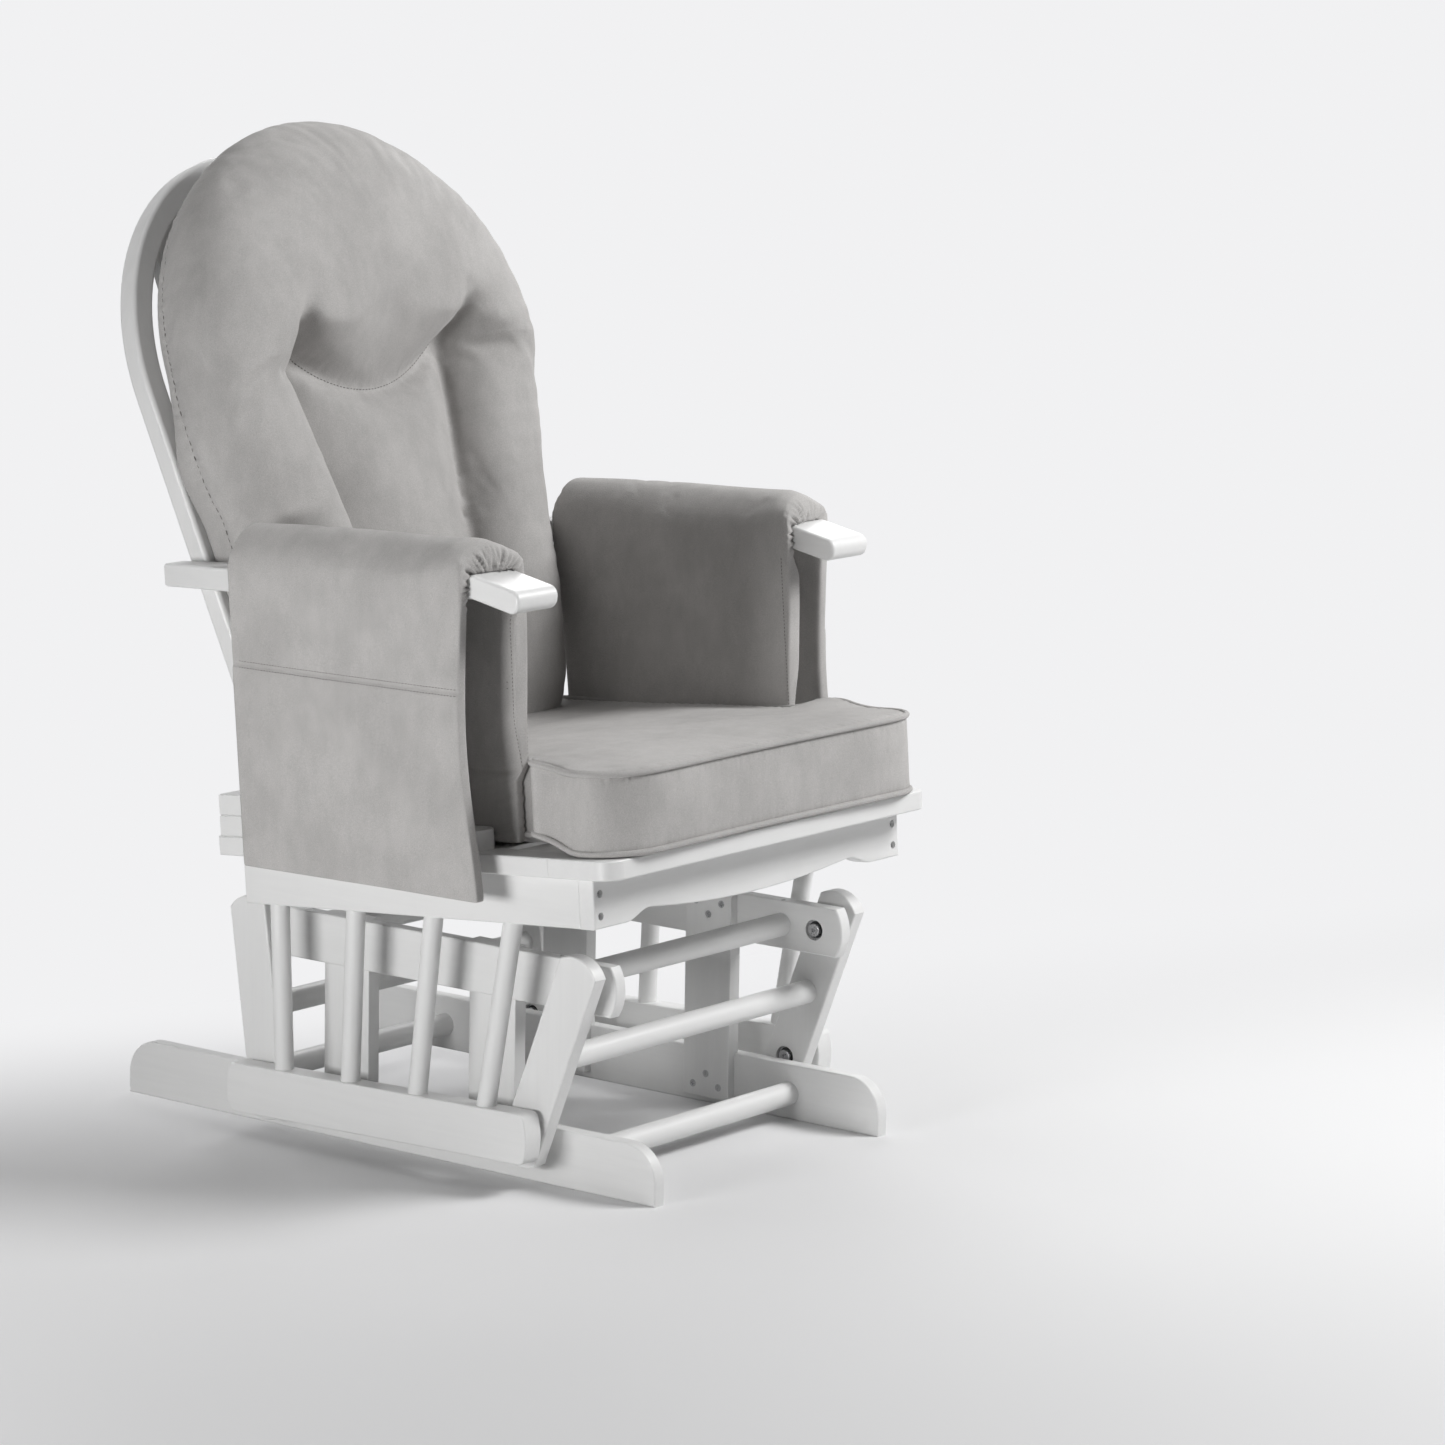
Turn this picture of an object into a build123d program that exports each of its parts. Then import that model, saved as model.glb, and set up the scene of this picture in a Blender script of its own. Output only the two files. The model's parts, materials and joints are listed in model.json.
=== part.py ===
from build123d import *
import os
from math import atan2, cos, degrees, hypot, radians, sin, sqrt, tan

# Glider nursery chair: a fixed base, four swinging links and a seat that hangs from them.
# Millimetres and degrees. The front faces -Y, +Z is up, +X is the sitter's left.
# Pieces are placed from the middle of the floor rails and centred on their box at the end.

# Base frame
rail_outer_x = 196.0
rail_thickness = 16.0
floor_rail_length = 720.0
floor_rail_height = 60.0
floor_rail_corner = 38.0
upper_rail_bottom = 183.0
upper_rail_height = 52.0
upper_rail_overhang = 36.0
rail_end_bow = 8.0
post_width = 61.0
post_thickness = 17.0
post_proud = 10.5
post_foot_gap = 8.5
front_post_y = -139.0
rear_post_y = 58.0
dowel_diameter = 25.0
dowel_socket = 8.0
floor_dowel_front_y = -243.0
floor_dowel_rear_y = 237.0
floor_dowel_z = 28.0
upper_dowel_front_y = -228.0
upper_dowel_rear_y = 106.0

# Links and the moving lower rails
front_pivot_y = -271.5
rear_pivot_y = 158.0
link_length = 160.0
link_width = 49.0
link_thickness = 18.0
link_end = 27.5
link_end_bow = 11.0
front_lean = 20.4
rear_lean = 8.1
link_gap = 11.5
lower_rail_gap = 6.0
lower_rail_thickness = 25.0
lower_rail_height = 52.0
lower_rail_overhang = 27.0
lower_rail_end_bow = 5.0
lower_rail_corner = 8.0

# Pivot hardware
bolt_diameter = 8.0
bolt_head_rim = 3.0
bolt_head_height = 5.0
bolt_socket = 5.0
bolt_socket_depth = 2.8
bearing_diameter = 22.0
bearing_width = 7.0
outer_race_wall = 1.75
inner_race_wall = 1.3
seal_recess = 0.6
head_recess = 4.0
spacer_wall = 5.0
insert_wall = 2.0
insert_length = 13.0
open_pivot_play = 2.5

# Seat frame
seat_tilt = 4.75
seat_front_y = -322.0
seat_front_z = 336.5
spindle_diameter = 20.0
tenon_diameter = 12.0
tenon_length = 14.0
spindle_top_first = 113.0
spindle_top_pitch = 104.5
spindle_foot_first = 34.0
spindle_foot_pitch = 91.0
spindles_per_side = 4
side_rail_thickness = 20.0
side_rail_height = 51.0
side_rail_inset = 22.0
front_rail_thickness = 18.0
scallop_rise = 10.0
scallop_foot_x = 205.0
scallop_top_x = 165.0
rear_rail_thickness = 20.0
rear_rail_height = 30.0
rear_rail_inset = 39.0
deck_thickness = 20.0
deck_side_overhang = 12.0
deck_overhang = 34.0
deck_front_depth = 80.0
deck_side_width = 50.0
deck_rear = 487.0
deck_corner = 20.0
seat_slat_thickness = 12.0
seat_slat_width = 58.0
seat_slat_bearing = 15.0
seat_slats = 5

# Arms
arm_base_width = 36.0
arm_base_inset = 4.0
arm_base_thickness = 21.0
arm_base_front = 138.0
arm_width = 62.0
arm_thickness = 24.0
arm_underside = 276.0
arm_bend = 104.0
arm_droop_length = 62.0
arm_droop_angle = 16.0
arm_tail_start = 425.0
arm_tail_width = 30.0
arm_tail_margin = 26.0
arm_spindle_inset = 23.0
arm_spindle_first = 190.0
arm_spindle_pitch = 100.0
arm_spindles_per_side = 3

# Back
back_rail_width = 57.0
back_rail_thickness = 22.0
hoop_setback = 11.0
back_recline = 17.75
hoop_width = 28.0
hoop_depth = 24.0
hoop_centre = 447.0
hoop_taper = 3.4
hoop_tenon = 14.0
back_slat_width = 38.0
back_slat_thickness = 12.0
back_slat_pitch = 72.0
back_slat_mortise = 10.0
back_slats = 5

# Fasteners
post_screw_diameter = 4.0
post_screw_head = 8.0
post_screw_head_height = 2.5
post_screw_length = 20.0
post_screw_spread = 34.0
post_screw_edge = 13.0
post_screw_step = 13.0
lock_screw_diameter = 5.0
lock_screw_length = 20.0
lock_screw_depth = 2.0
front_screw_diameter = 5.0
front_screw_head = 8.0
front_screw_head_height = 4.0
front_screw_sink = 4.0
front_screw_length = 45.0
front_screw_drops = (16.0, 38.5)
arm_bolt_diameter = 6.0
arm_bolt_head = 12.0
arm_bolt_head_height = 3.5
arm_bolt_grip = 20.0

# Cushions and arm pads
seat_cushion_front = 42.0
seat_cushion_rear_gap = 2.0
seat_cushion_height = 84.0
seat_cushion_nose_inset = 10.0
seat_cushion_nose_depth = 82.0
seat_cushion_corner = 52.0
back_cushion_thickness = 142.0
back_cushion_overlap = 8.0
back_cushion_centre = 434.0
back_cushion_foot_gap = 20.0
back_cushion_waist_gap = 2.5
back_cushion_waist = 282.0
back_cushion_edge = 62.0
back_cushion_rear_edge = 18.0
pad_front = 98.0
pad_rear = 420.0
pad_top_thickness = 30.0
pad_outer_thickness = 13.5
pad_inner_thickness = 12.0
pad_outer_hem = -14.0
pad_inner_hem_gap = 4.0
pad_roll = 29.0

# Clearances and edge rounding
fit_gap = 0.05
soft_gap = 0.5
running_gap = 0.3
board_edge = 2.0
arm_edge = 3.5
arm_nose = 11.0
hoop_edge = 5.0

# Places that follow from the sizes above
rail_inner_x = rail_outer_x - rail_thickness
post_inner_x = rail_inner_x - post_proud
post_outer_x = post_inner_x + post_thickness
upper_rail_top = upper_rail_bottom + upper_rail_height
pivot_z = upper_rail_bottom + upper_rail_height / 2
link_inner_x = rail_outer_x + link_gap
link_outer_x = link_inner_x + link_thickness
lower_rail_inner_x = link_outer_x + lower_rail_gap
lower_rail_outer_x = lower_rail_inner_x + lower_rail_thickness
bolt_head_diameter = bolt_diameter + 2 * bolt_head_rim
insert_diameter = bolt_diameter + 2 * insert_wall
spacer_diameter = bolt_diameter + 2 * spacer_wall
pivot_hole = bolt_diameter + 2 * open_pivot_play + 1
spindle_x = (lower_rail_inner_x + lower_rail_outer_x) / 2
side_rail_inner_x = spindle_x - side_rail_thickness / 2
side_rail_outer_x = spindle_x + side_rail_thickness / 2
side_rail_rear = deck_rear - side_rail_inset
rear_rail_rear = deck_rear - rear_rail_inset
deck_half_width = side_rail_outer_x + deck_side_overhang
deck_inner_x = deck_half_width - deck_side_width
deck_front_rear = deck_front_depth - deck_overhang
arm_base_outer_x = deck_half_width - arm_base_inset
arm_base_inner_x = arm_base_outer_x - arm_base_width
arm_base_top = deck_thickness + arm_base_thickness
arm_inner_x = arm_base_inner_x
arm_outer_x = arm_inner_x + arm_width
arm_spindle_x = arm_base_inner_x + arm_spindle_inset
arm_top = arm_underside + arm_thickness
back_rail_front = deck_rear - back_rail_width
back_rail_top = arm_base_top + back_rail_thickness
back_foot = back_rail_front + hoop_setback
pad_face_x = arm_inner_x - soft_gap - pad_inner_thickness

# The hoop's legs meet the armrests: height up the back, place along the seat, and hoop radius
recline_sin = sin(radians(back_recline))
recline_cos = cos(radians(back_recline))
arm_joint_rise = arm_underside + arm_thickness / 2 - back_rail_top
arm_joint_up = (arm_joint_rise + hoop_depth / 2 * recline_sin) / recline_cos
arm_joint_v = back_foot + (hoop_depth / 2 + arm_joint_rise * recline_sin) / recline_cos
arm_tail_end = arm_joint_v + arm_tail_margin
hoop_spread = (hoop_centre - arm_joint_up) * tan(radians(hoop_taper))
hoop_radius = (arm_inner_x + hoop_spread) * cos(radians(hoop_taper))
back_cushion_radius = hoop_radius + back_cushion_overlap


def lower_pivot(pivot_y, lean):
    """Rest place of a link's lower pivot as (y, z); a positive lean carries it to the rear."""
    angle = radians(lean)
    return pivot_y + link_length * sin(angle), pivot_z - link_length * cos(angle)


front_foot_y, front_foot_z = lower_pivot(front_pivot_y, front_lean)
rear_foot_y, rear_foot_z = lower_pivot(rear_pivot_y, -rear_lean)
foot_span = hypot(rear_foot_y - front_foot_y, rear_foot_z - front_foot_z)
lower_rail_tilt = degrees(atan2(front_foot_z - rear_foot_z, rear_foot_y - front_foot_y))

SEAT = Location((0, seat_front_y, seat_front_z), (-seat_tilt, 0, 0))
BACK = SEAT * Location((0, back_foot, back_rail_top), (-back_recline, 0, 0))
LOWER = Location((0, front_foot_y, front_foot_z), (-lower_rail_tilt, 0, 0))


def block(low, high):
    """A box between two opposite corners."""
    size = [b - a for a, b in zip(low, high)]
    middle = [(a + b) / 2 for a, b in zip(low, high)]
    return Pos(*middle) * Box(*size)


def board(face, x_low, x_high, edge=board_edge):
    """A face drawn in Y and Z made into a board from x_low to x_high, its long edges rounded."""
    solid = extrude(Plane.YZ.offset(x_low) * face, amount=x_high - x_low)
    sides = solid.faces().filter_by(Axis.X)
    return fillet(sides.edges(), edge)


def rounded_block(low, high, axis, edge=board_edge):
    """A box whose two faces across the axis have rounded rims."""
    solid = block(low, high)
    return fillet(solid.faces().filter_by(axis).edges(), edge)


def rod_x(x_low, x_high, y, z, diameter):
    """A round rod along X."""
    middle = Location(((x_low + x_high) / 2, y, z), (0, 90, 0))
    return middle * Cylinder(diameter / 2, x_high - x_low)


def ring_x(x_low, x_high, y, z, outer, inner):
    """A round ring about an axis along X."""
    return rod_x(x_low, x_high, y, z, outer) - rod_x(x_low - 1, x_high + 1, y, z, inner)


def rod_between(start, end, diameter, reach=0.0):
    """A round rod between two points, run on past both by reach."""
    axis = Vector(*end) - Vector(*start)
    way = axis.normalized()
    foot = Vector(*start) - way * reach
    plane = Plane(origin=foot, z_dir=way)
    return extrude(plane * Circle(diameter / 2), amount=axis.length + 2 * reach)


def other_side(solid):
    """The mirror image across the chair's middle plane."""
    return mirror(solid, about=Plane.YZ)


def group(solids):
    """Like pieces that share one node as separate solids."""
    return Compound([piece for solid in solids for piece in solid.solids()])


def both_sides(solids):
    """A list of right-hand solids with their mirror images."""
    return [twin for solid in solids for twin in (solid, other_side(solid))]


def bowed_strip(length_low, length_high, height_low, height_high, bow):
    """A strip outline whose two short ends are arcs that stand out by bow."""
    middle = (height_low + height_high) / 2
    outline = [
        Line((length_low, height_low), (length_high, height_low)),
        ThreePointArc((length_high, height_low), (length_high + bow, middle), (length_high, height_high)),
        Line((length_high, height_high), (length_low, height_high)),
        ThreePointArc((length_low, height_high), (length_low - bow, middle), (length_low, height_low)),
    ]
    return make_face(outline)


def socket_bolt(x_head, way, shank_length, y, z):
    """A socket-head bolt along X, with its bearing face at x_head and its shank going way."""
    head_far = x_head - way * bolt_head_height
    head = rod_x(min(x_head, head_far), max(x_head, head_far), y, z, bolt_head_diameter)
    head = fillet(head.edges().sort_by(Axis.X)[0 if way > 0 else -1], bolt_head_height / 6)
    tip = x_head + way * shank_length
    shank = rod_x(min(x_head, tip), max(x_head, tip), y, z, bolt_diameter)
    key = extrude(
        Plane((head_far, y, z), z_dir=(way, 0, 0)) * RegularPolygon(bolt_socket / 2, 6, major_radius=False),
        amount=bolt_socket_depth,
    )
    return head + shank - key


def pan_screw(seat_point, way, head, head_height, shank, length):
    """A cross-slotted screw: its head rests on seat_point and its shank runs along way."""
    seat_plane = Plane(origin=seat_point, z_dir=way)
    solid = extrude(seat_plane * Circle(shank / 2), amount=length)
    solid += extrude(seat_plane * Circle(head / 2), amount=-head_height)
    top = seat_plane.offset(-head_height)
    cross = Rectangle(head * 0.6, head * 0.14) + Rectangle(head * 0.14, head * 0.6)
    return solid - extrude(top * cross, amount=head_height / 2)


def bearing(x_low, y, z, bore):
    """A sealed ball bearing as an outer race, a seal and an inner race."""
    outer_bore = bearing_diameter - 2 * outer_race_wall
    inner_rim = bore + 2 * inner_race_wall
    x_high = x_low + bearing_width
    return [
        ring_x(x_low, x_high, y, z, bearing_diameter, outer_bore),
        ring_x(x_low, x_high, y, z, inner_rim, bore),
        ring_x(
            x_low + seal_recess,
            x_high - seal_recess,
            y,
            z,
            outer_bore - 2 * fit_gap,
            inner_rim + 2 * fit_gap,
        ),
    ]


# Base frame
def floor_rail():
    """Left floor rail: straight underneath, with both upper corners rounded."""
    face = Pos(0, floor_rail_height / 2) * Rectangle(floor_rail_length, floor_rail_height)
    upper = face.vertices().filter_by_position(Axis.Y, floor_rail_height - 1, floor_rail_height + 1)
    solid = board(fillet(upper, floor_rail_corner), rail_inner_x, rail_outer_x)
    solid -= post_blanks()
    for y in (floor_dowel_front_y, floor_dowel_rear_y):
        solid -= dowel(rail_inner_x, y, floor_dowel_z, fit_gap)
    return solid - screw_holes(base_post_screws())


def upper_rail():
    """Left upper rail with bowed ends, carrying the two upper pivots."""
    face = bowed_strip(
        front_pivot_y - upper_rail_overhang + rail_end_bow,
        rear_pivot_y + upper_rail_overhang - rail_end_bow,
        upper_rail_bottom,
        upper_rail_top,
        rail_end_bow,
    )
    solid = board(face, rail_inner_x, rail_outer_x)
    solid -= post_blanks()
    for y in (upper_dowel_front_y, upper_dowel_rear_y):
        solid -= dowel(rail_inner_x, y, pivot_z, fit_gap)
        solid -= lock_screw_hole(y)
    for y in (front_pivot_y, rear_pivot_y):
        recess_end = rail_inner_x + head_recess + bearing_width
        solid -= rod_x(rail_inner_x - 1, recess_end, y, pivot_z, bearing_diameter + 2 * fit_gap)
        solid -= rod_x(rail_inner_x, rail_outer_x + 1, y, pivot_z, pivot_hole)
    return solid - screw_holes(base_post_screws())


def post_blank(y):
    """A left post before its screw holes, let into the inner faces of both rails."""
    half = post_width / 2
    low = (post_inner_x, y - half, post_foot_gap)
    high = (post_outer_x, y + half, upper_rail_top)
    return rounded_block(low, high, Axis.X, board_edge / 2)


def post_blanks():
    """Both left posts, as the housings that the rails have for them."""
    return post_blank(front_post_y) + post_blank(rear_post_y)


def base_post_screws():
    """The left posts' screws: a triangle into each rail."""
    places = []
    for y in (front_post_y, rear_post_y):
        low = post_foot_gap + post_screw_edge
        high = upper_rail_top - post_screw_edge
        for side in (-post_screw_spread / 2, post_screw_spread / 2):
            places.append((y + side, low))
            places.append((y + side, high))
        places.append((y, low + post_screw_step))
        places.append((y, high - post_screw_step))
    return [
        pan_screw(
            (post_inner_x + post_screw_head_height, y, z),
            (1, 0, 0),
            post_screw_head,
            post_screw_head_height,
            post_screw_diameter,
            post_screw_length,
        )
        for y, z in places
    ]


def screw_holes(screws):
    """Counterbored holes for post screws."""
    holes = []
    for screw in screws:
        box = screw.bounding_box()
        y = box.center().Y
        z = box.center().Z
        seat_x = box.min.X + post_screw_head_height
        hole = rod_x(seat_x, box.max.X + fit_gap, y, z, post_screw_diameter + 2 * fit_gap)
        hole += rod_x(box.min.X - 1, seat_x, y, z, post_screw_head + 2 * fit_gap)
        holes.append(hole)
    return holes


def dowel(inner_x, y, z, grow=0.0):
    """A cross dowel let into sockets on both sides; grow makes the socket's cutter."""
    reach = inner_x + dowel_socket + grow
    return rod_x(-reach, reach, y, z, dowel_diameter + 2 * grow)


def lock_screw_x():
    """The lock screws stand over the middle of the dowel's socket."""
    return rail_inner_x + dowel_socket / 2


def lock_screw(y):
    """A headless screw through a rail's upper edge into the end of a dowel."""
    top = upper_rail_top - lock_screw_depth
    middle = top - lock_screw_length / 2
    solid = Pos(lock_screw_x(), y, middle) * Cylinder(lock_screw_diameter / 2, lock_screw_length)
    key = Plane((lock_screw_x(), y, top), z_dir=(0, 0, -1)) * RegularPolygon(lock_screw_diameter / 4, 6)
    return solid - extrude(key, amount=lock_screw_diameter / 2)


def lock_screw_hole(y):
    """The hole that a lock screw runs in, open at the rail's upper edge."""
    length = lock_screw_length + lock_screw_depth + 1
    middle = upper_rail_top + 1 - length / 2
    return Pos(lock_screw_x(), y, middle) * Cylinder(lock_screw_diameter / 2 + fit_gap, length)


def upper_dowel(y):
    """A dowel between the upper rails, drilled for a lock screw at each end."""
    hole = lock_screw_hole(y)
    return dowel(rail_inner_x, y, pivot_z) - hole - other_side(hole)


# Links
def link_frame(pivot_y, lean):
    """Places a link drawn with its upper pivot at the origin and its lower pivot straight below."""
    return Location((0, pivot_y, pivot_z), (lean, 0, 0))


def link(pivot_y, lean):
    """A left link: bearing recess and dowel socket on its inner face, blind insert hole above."""
    half = link_width / 2
    strip = bowed_strip(-link_length - link_end, link_end, -half, half, link_end_bow)
    solid = board(Rot(0, 0, 90) * strip, link_inner_x, link_outer_x)
    solid -= dowel(link_inner_x, 0, -link_length / 2, fit_gap)
    solid -= insert_hole(link_inner_x, 0, 0)
    recess_end = link_inner_x + head_recess + bearing_width
    solid -= rod_x(link_inner_x - 1, recess_end, 0, -link_length, bearing_diameter + 2 * fit_gap)
    solid -= rod_x(link_inner_x, link_outer_x + 1, 0, -link_length, pivot_hole)
    return link_frame(pivot_y, lean) * solid


def link_dowel(pivot_y, lean):
    """The dowel that ties a pair of links at the middle of their length."""
    return link_frame(pivot_y, lean) * dowel(link_inner_x, 0, -link_length / 2)


def upper_bolt(y):
    """A left upper pivot bolt: head in the rail's recess, shank in the link's insert."""
    x_head = rail_inner_x + head_recess - running_gap
    length = link_inner_x + insert_length - x_head - 1
    return socket_bolt(x_head, 1, length, y, pivot_z)


def upper_spacer(y):
    """The spacer that keeps a link off the upper rail."""
    return ring_x(
        rail_outer_x + running_gap, link_inner_x, y, pivot_z, spacer_diameter, bolt_diameter + 2 * fit_gap
    )


def insert_hole(x_low, y, z):
    """The blind hole that a threaded sleeve sits in, open at x_low."""
    return rod_x(x_low - 1, x_low + insert_length + fit_gap, y, z, insert_diameter + 2 * fit_gap)


def insert_sleeve(x_low, y, z):
    """A threaded sleeve in a blind hole."""
    return ring_x(x_low, x_low + insert_length, y, z, insert_diameter, bolt_diameter + 2 * fit_gap)


def link_body(name, pivot_y, lean, foot_y, foot_z, play):
    """All pieces of one pair of links, named for the pair; play widens the lower bearings' bores."""
    left = link(pivot_y, lean)
    bore = bolt_diameter + 2 * (fit_gap + play)
    return {
        f"{name}_link_left": left,
        f"{name}_link_right": other_side(left),
        f"{name}_link_dowel": link_dowel(pivot_y, lean),
        f"{name}_upper_pivot_bolts": group(both_sides([upper_bolt(pivot_y)])),
        f"{name}_upper_pivot_spacers": group(both_sides([upper_spacer(pivot_y)])),
        f"{name}_link_inserts": group(both_sides([insert_sleeve(link_inner_x, pivot_y, pivot_z)])),
        f"{name}_lower_pivot_bearings": group(
            both_sides(bearing(link_inner_x + head_recess, foot_y, foot_z, bore))
        ),
    }


# Seat frame
def lower_rail_blank():
    """Left lower rail along the line through both lower pivots, ends bowed and corners rounded."""
    half = lower_rail_height / 2
    overhang = lower_rail_overhang - lower_rail_end_bow
    face = bowed_strip(-overhang, foot_span + overhang, -half, half, lower_rail_end_bow)
    face = fillet(face.vertices(), lower_rail_corner)
    return LOWER * board(face, lower_rail_inner_x, lower_rail_outer_x)


def lower_rail():
    """Left lower rail with its spindle and insert holes."""
    solid = lower_rail_blank() - spindle_holes()
    for y, z in ((front_foot_y, front_foot_z), (rear_foot_y, rear_foot_z)):
        solid -= insert_hole(lower_rail_inner_x, y, z)
    return solid


def side_rail_blank():
    """Left seat side rail before its holes."""
    low = (side_rail_inner_x, front_rail_thickness, -side_rail_height)
    high = (side_rail_outer_x, side_rail_rear, 0)
    return SEAT * rounded_block(low, high, Axis.X)


def side_rail():
    """Left seat side rail with spindle and screw holes."""
    return side_rail_blank() - spindle_holes() - front_screw_holes()


def spindle_ends(index):
    """Where a left spindle's axis meets the lower rail's top and the side rail's underside."""
    foot = LOWER * Pos(spindle_x, spindle_foot_first + index * spindle_foot_pitch, lower_rail_height / 2)
    top = SEAT * Pos(spindle_x, spindle_top_first + index * spindle_top_pitch, -side_rail_height)
    return foot.position, top.position


def spindle(index):
    """A left base spindle: a round shaft trimmed to both rails, with a tenon at each end."""
    foot, top = spindle_ends(index)
    shaft = rod_between(foot, top, spindle_diameter, tenon_length / 2)
    shaft = shaft - lower_rail_blank() - side_rail_blank()
    return shaft + rod_between(foot, top, tenon_diameter, tenon_length)


def spindle_holes():
    """The left spindles' tenon holes in both rails."""
    holes = []
    for index in range(spindles_per_side):
        foot, top = spindle_ends(index)
        holes.append(rod_between(foot, top, tenon_diameter + 2 * fit_gap, tenon_length + fit_gap))
    return holes


def front_rail():
    """The front rail across both side rails, its lower edge scalloped near each end."""
    half = side_rail_outer_x
    low = -side_rail_height
    high = low + scallop_rise
    outline = [
        Line((half, low), (half, 0)),
        Line((half, 0), (-half, 0)),
        Line((-half, 0), (-half, low)),
        Line((-half, low), (-scallop_foot_x, low)),
        Spline((-scallop_foot_x, low), (-scallop_top_x, high), tangents=((1, 0), (1, 0))),
        ThreePointArc((-scallop_top_x, high), (0, low), (scallop_top_x, high)),
        Spline((scallop_top_x, high), (scallop_foot_x, low), tangents=((1, 0), (1, 0))),
        Line((scallop_foot_x, low), (half, low)),
    ]
    solid = extrude(Plane.XZ * make_face(outline), amount=-front_rail_thickness)
    solid = fillet(solid.faces().sort_by(Axis.Y)[0].edges(), board_edge)
    holes = front_screw_holes()
    return SEAT * solid - holes - [other_side(hole) for hole in holes]


def front_screws():
    """The left end's two screws through the front rail into the side rail."""
    return [
        SEAT
        * pan_screw(
            (spindle_x, front_screw_sink + front_screw_head_height, -drop),
            (0, 1, 0),
            front_screw_head,
            front_screw_head_height,
            front_screw_diameter,
            front_screw_length,
        )
        for drop in front_screw_drops
    ]


def front_screw_holes():
    """Sunk holes for the left front-rail screws."""
    seat_v = front_screw_sink + front_screw_head_height
    holes = []
    for drop in front_screw_drops:
        seat_plane = Plane((spindle_x, seat_v, -drop), z_dir=(0, 1, 0))
        wide = extrude(seat_plane * Circle(front_screw_head / 2 + fit_gap), amount=-seat_v - 1)
        slim = extrude(
            seat_plane * Circle(front_screw_diameter / 2 + fit_gap), amount=front_screw_length + fit_gap
        )
        holes.append(SEAT * (wide + slim))
    return holes


def rear_rail():
    """The rear rail between the side rails."""
    return SEAT * rounded_block(
        (-side_rail_inner_x, rear_rail_rear - rear_rail_thickness, -rear_rail_height),
        (side_rail_inner_x, rear_rail_rear, 0),
        Axis.Y,
    )


def deck_front():
    """The deck's front board, its two front corners rounded."""
    solid = block((-deck_half_width, -deck_overhang, 0), (deck_half_width, deck_front_rear, deck_thickness))
    corners = solid.edges().filter_by(Axis.Z).sort_by(Axis.Y)[:2]
    solid = fillet(corners, deck_corner)
    rims = solid.edges().filter_by_position(Axis.Y, -deck_overhang - 1, deck_front_rear - 1)
    return SEAT * fillet(rims.filter_by(Axis.Z, reverse=True), board_edge)


def deck_side():
    """Left deck board, rebated along its inner edge for the slats."""
    solid = rounded_block(
        (deck_inner_x, deck_front_rear, 0), (deck_half_width, deck_rear, deck_thickness), Axis.X
    )
    rebate = block(
        (deck_inner_x - 1, deck_front_rear - 1, deck_thickness - seat_slat_thickness),
        (deck_inner_x + seat_slat_bearing, back_rail_front, deck_thickness + 1),
    )
    return SEAT * (solid - rebate)


def deck_back():
    """The deck's rear board between the two side boards."""
    return SEAT * rounded_block(
        (-deck_inner_x, back_rail_front, 0), (deck_inner_x, deck_rear, deck_thickness), Axis.Y
    )


def seat_slat(index):
    """A slat across the seat, its ends in the side boards' rebates."""
    span = back_rail_front - deck_front_rear
    pitch = span / seat_slats
    middle = deck_front_rear + (index + 0.5) * pitch
    half = deck_inner_x + seat_slat_bearing - running_gap
    return SEAT * rounded_block(
        (-half, middle - seat_slat_width / 2, deck_thickness - seat_slat_thickness),
        (half, middle + seat_slat_width / 2, deck_thickness),
        Axis.Z,
        board_edge / 2,
    )


# Arms
def arm_base_rail():
    """Left rail on the deck that carries the arm spindles, its front end rounded."""
    width = arm_base_outer_x - arm_base_inner_x
    solid = block(
        (arm_base_inner_x, arm_base_front, deck_thickness), (arm_base_outer_x, deck_rear, arm_base_top)
    )
    tips = solid.edges().filter_by(Axis.Z).sort_by(Axis.Y)[:2]
    solid = fillet(tips, width / 2 - 1)
    solid = fillet(solid.faces().sort_by(Axis.Z)[-1].edges(), board_edge)
    for index in range(arm_spindles_per_side):
        solid -= arm_spindle_axis(index, tenon_diameter + 2 * fit_gap, tenon_length + fit_gap)
    return SEAT * solid


def arm_spindle_axis(index, diameter, reach):
    """A round rod on an arm spindle's axis, from the base rail to the arm and on by reach."""
    v = arm_spindle_first + index * arm_spindle_pitch
    return rod_between((arm_spindle_x, v, arm_base_top), (arm_spindle_x, v, arm_underside), diameter, reach)


def arm_spindle(index):
    """A left arm spindle with its tenons."""
    shaft = arm_spindle_axis(index, spindle_diameter, 0)
    return SEAT * (shaft + arm_spindle_axis(index, tenon_diameter, tenon_length))


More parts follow.
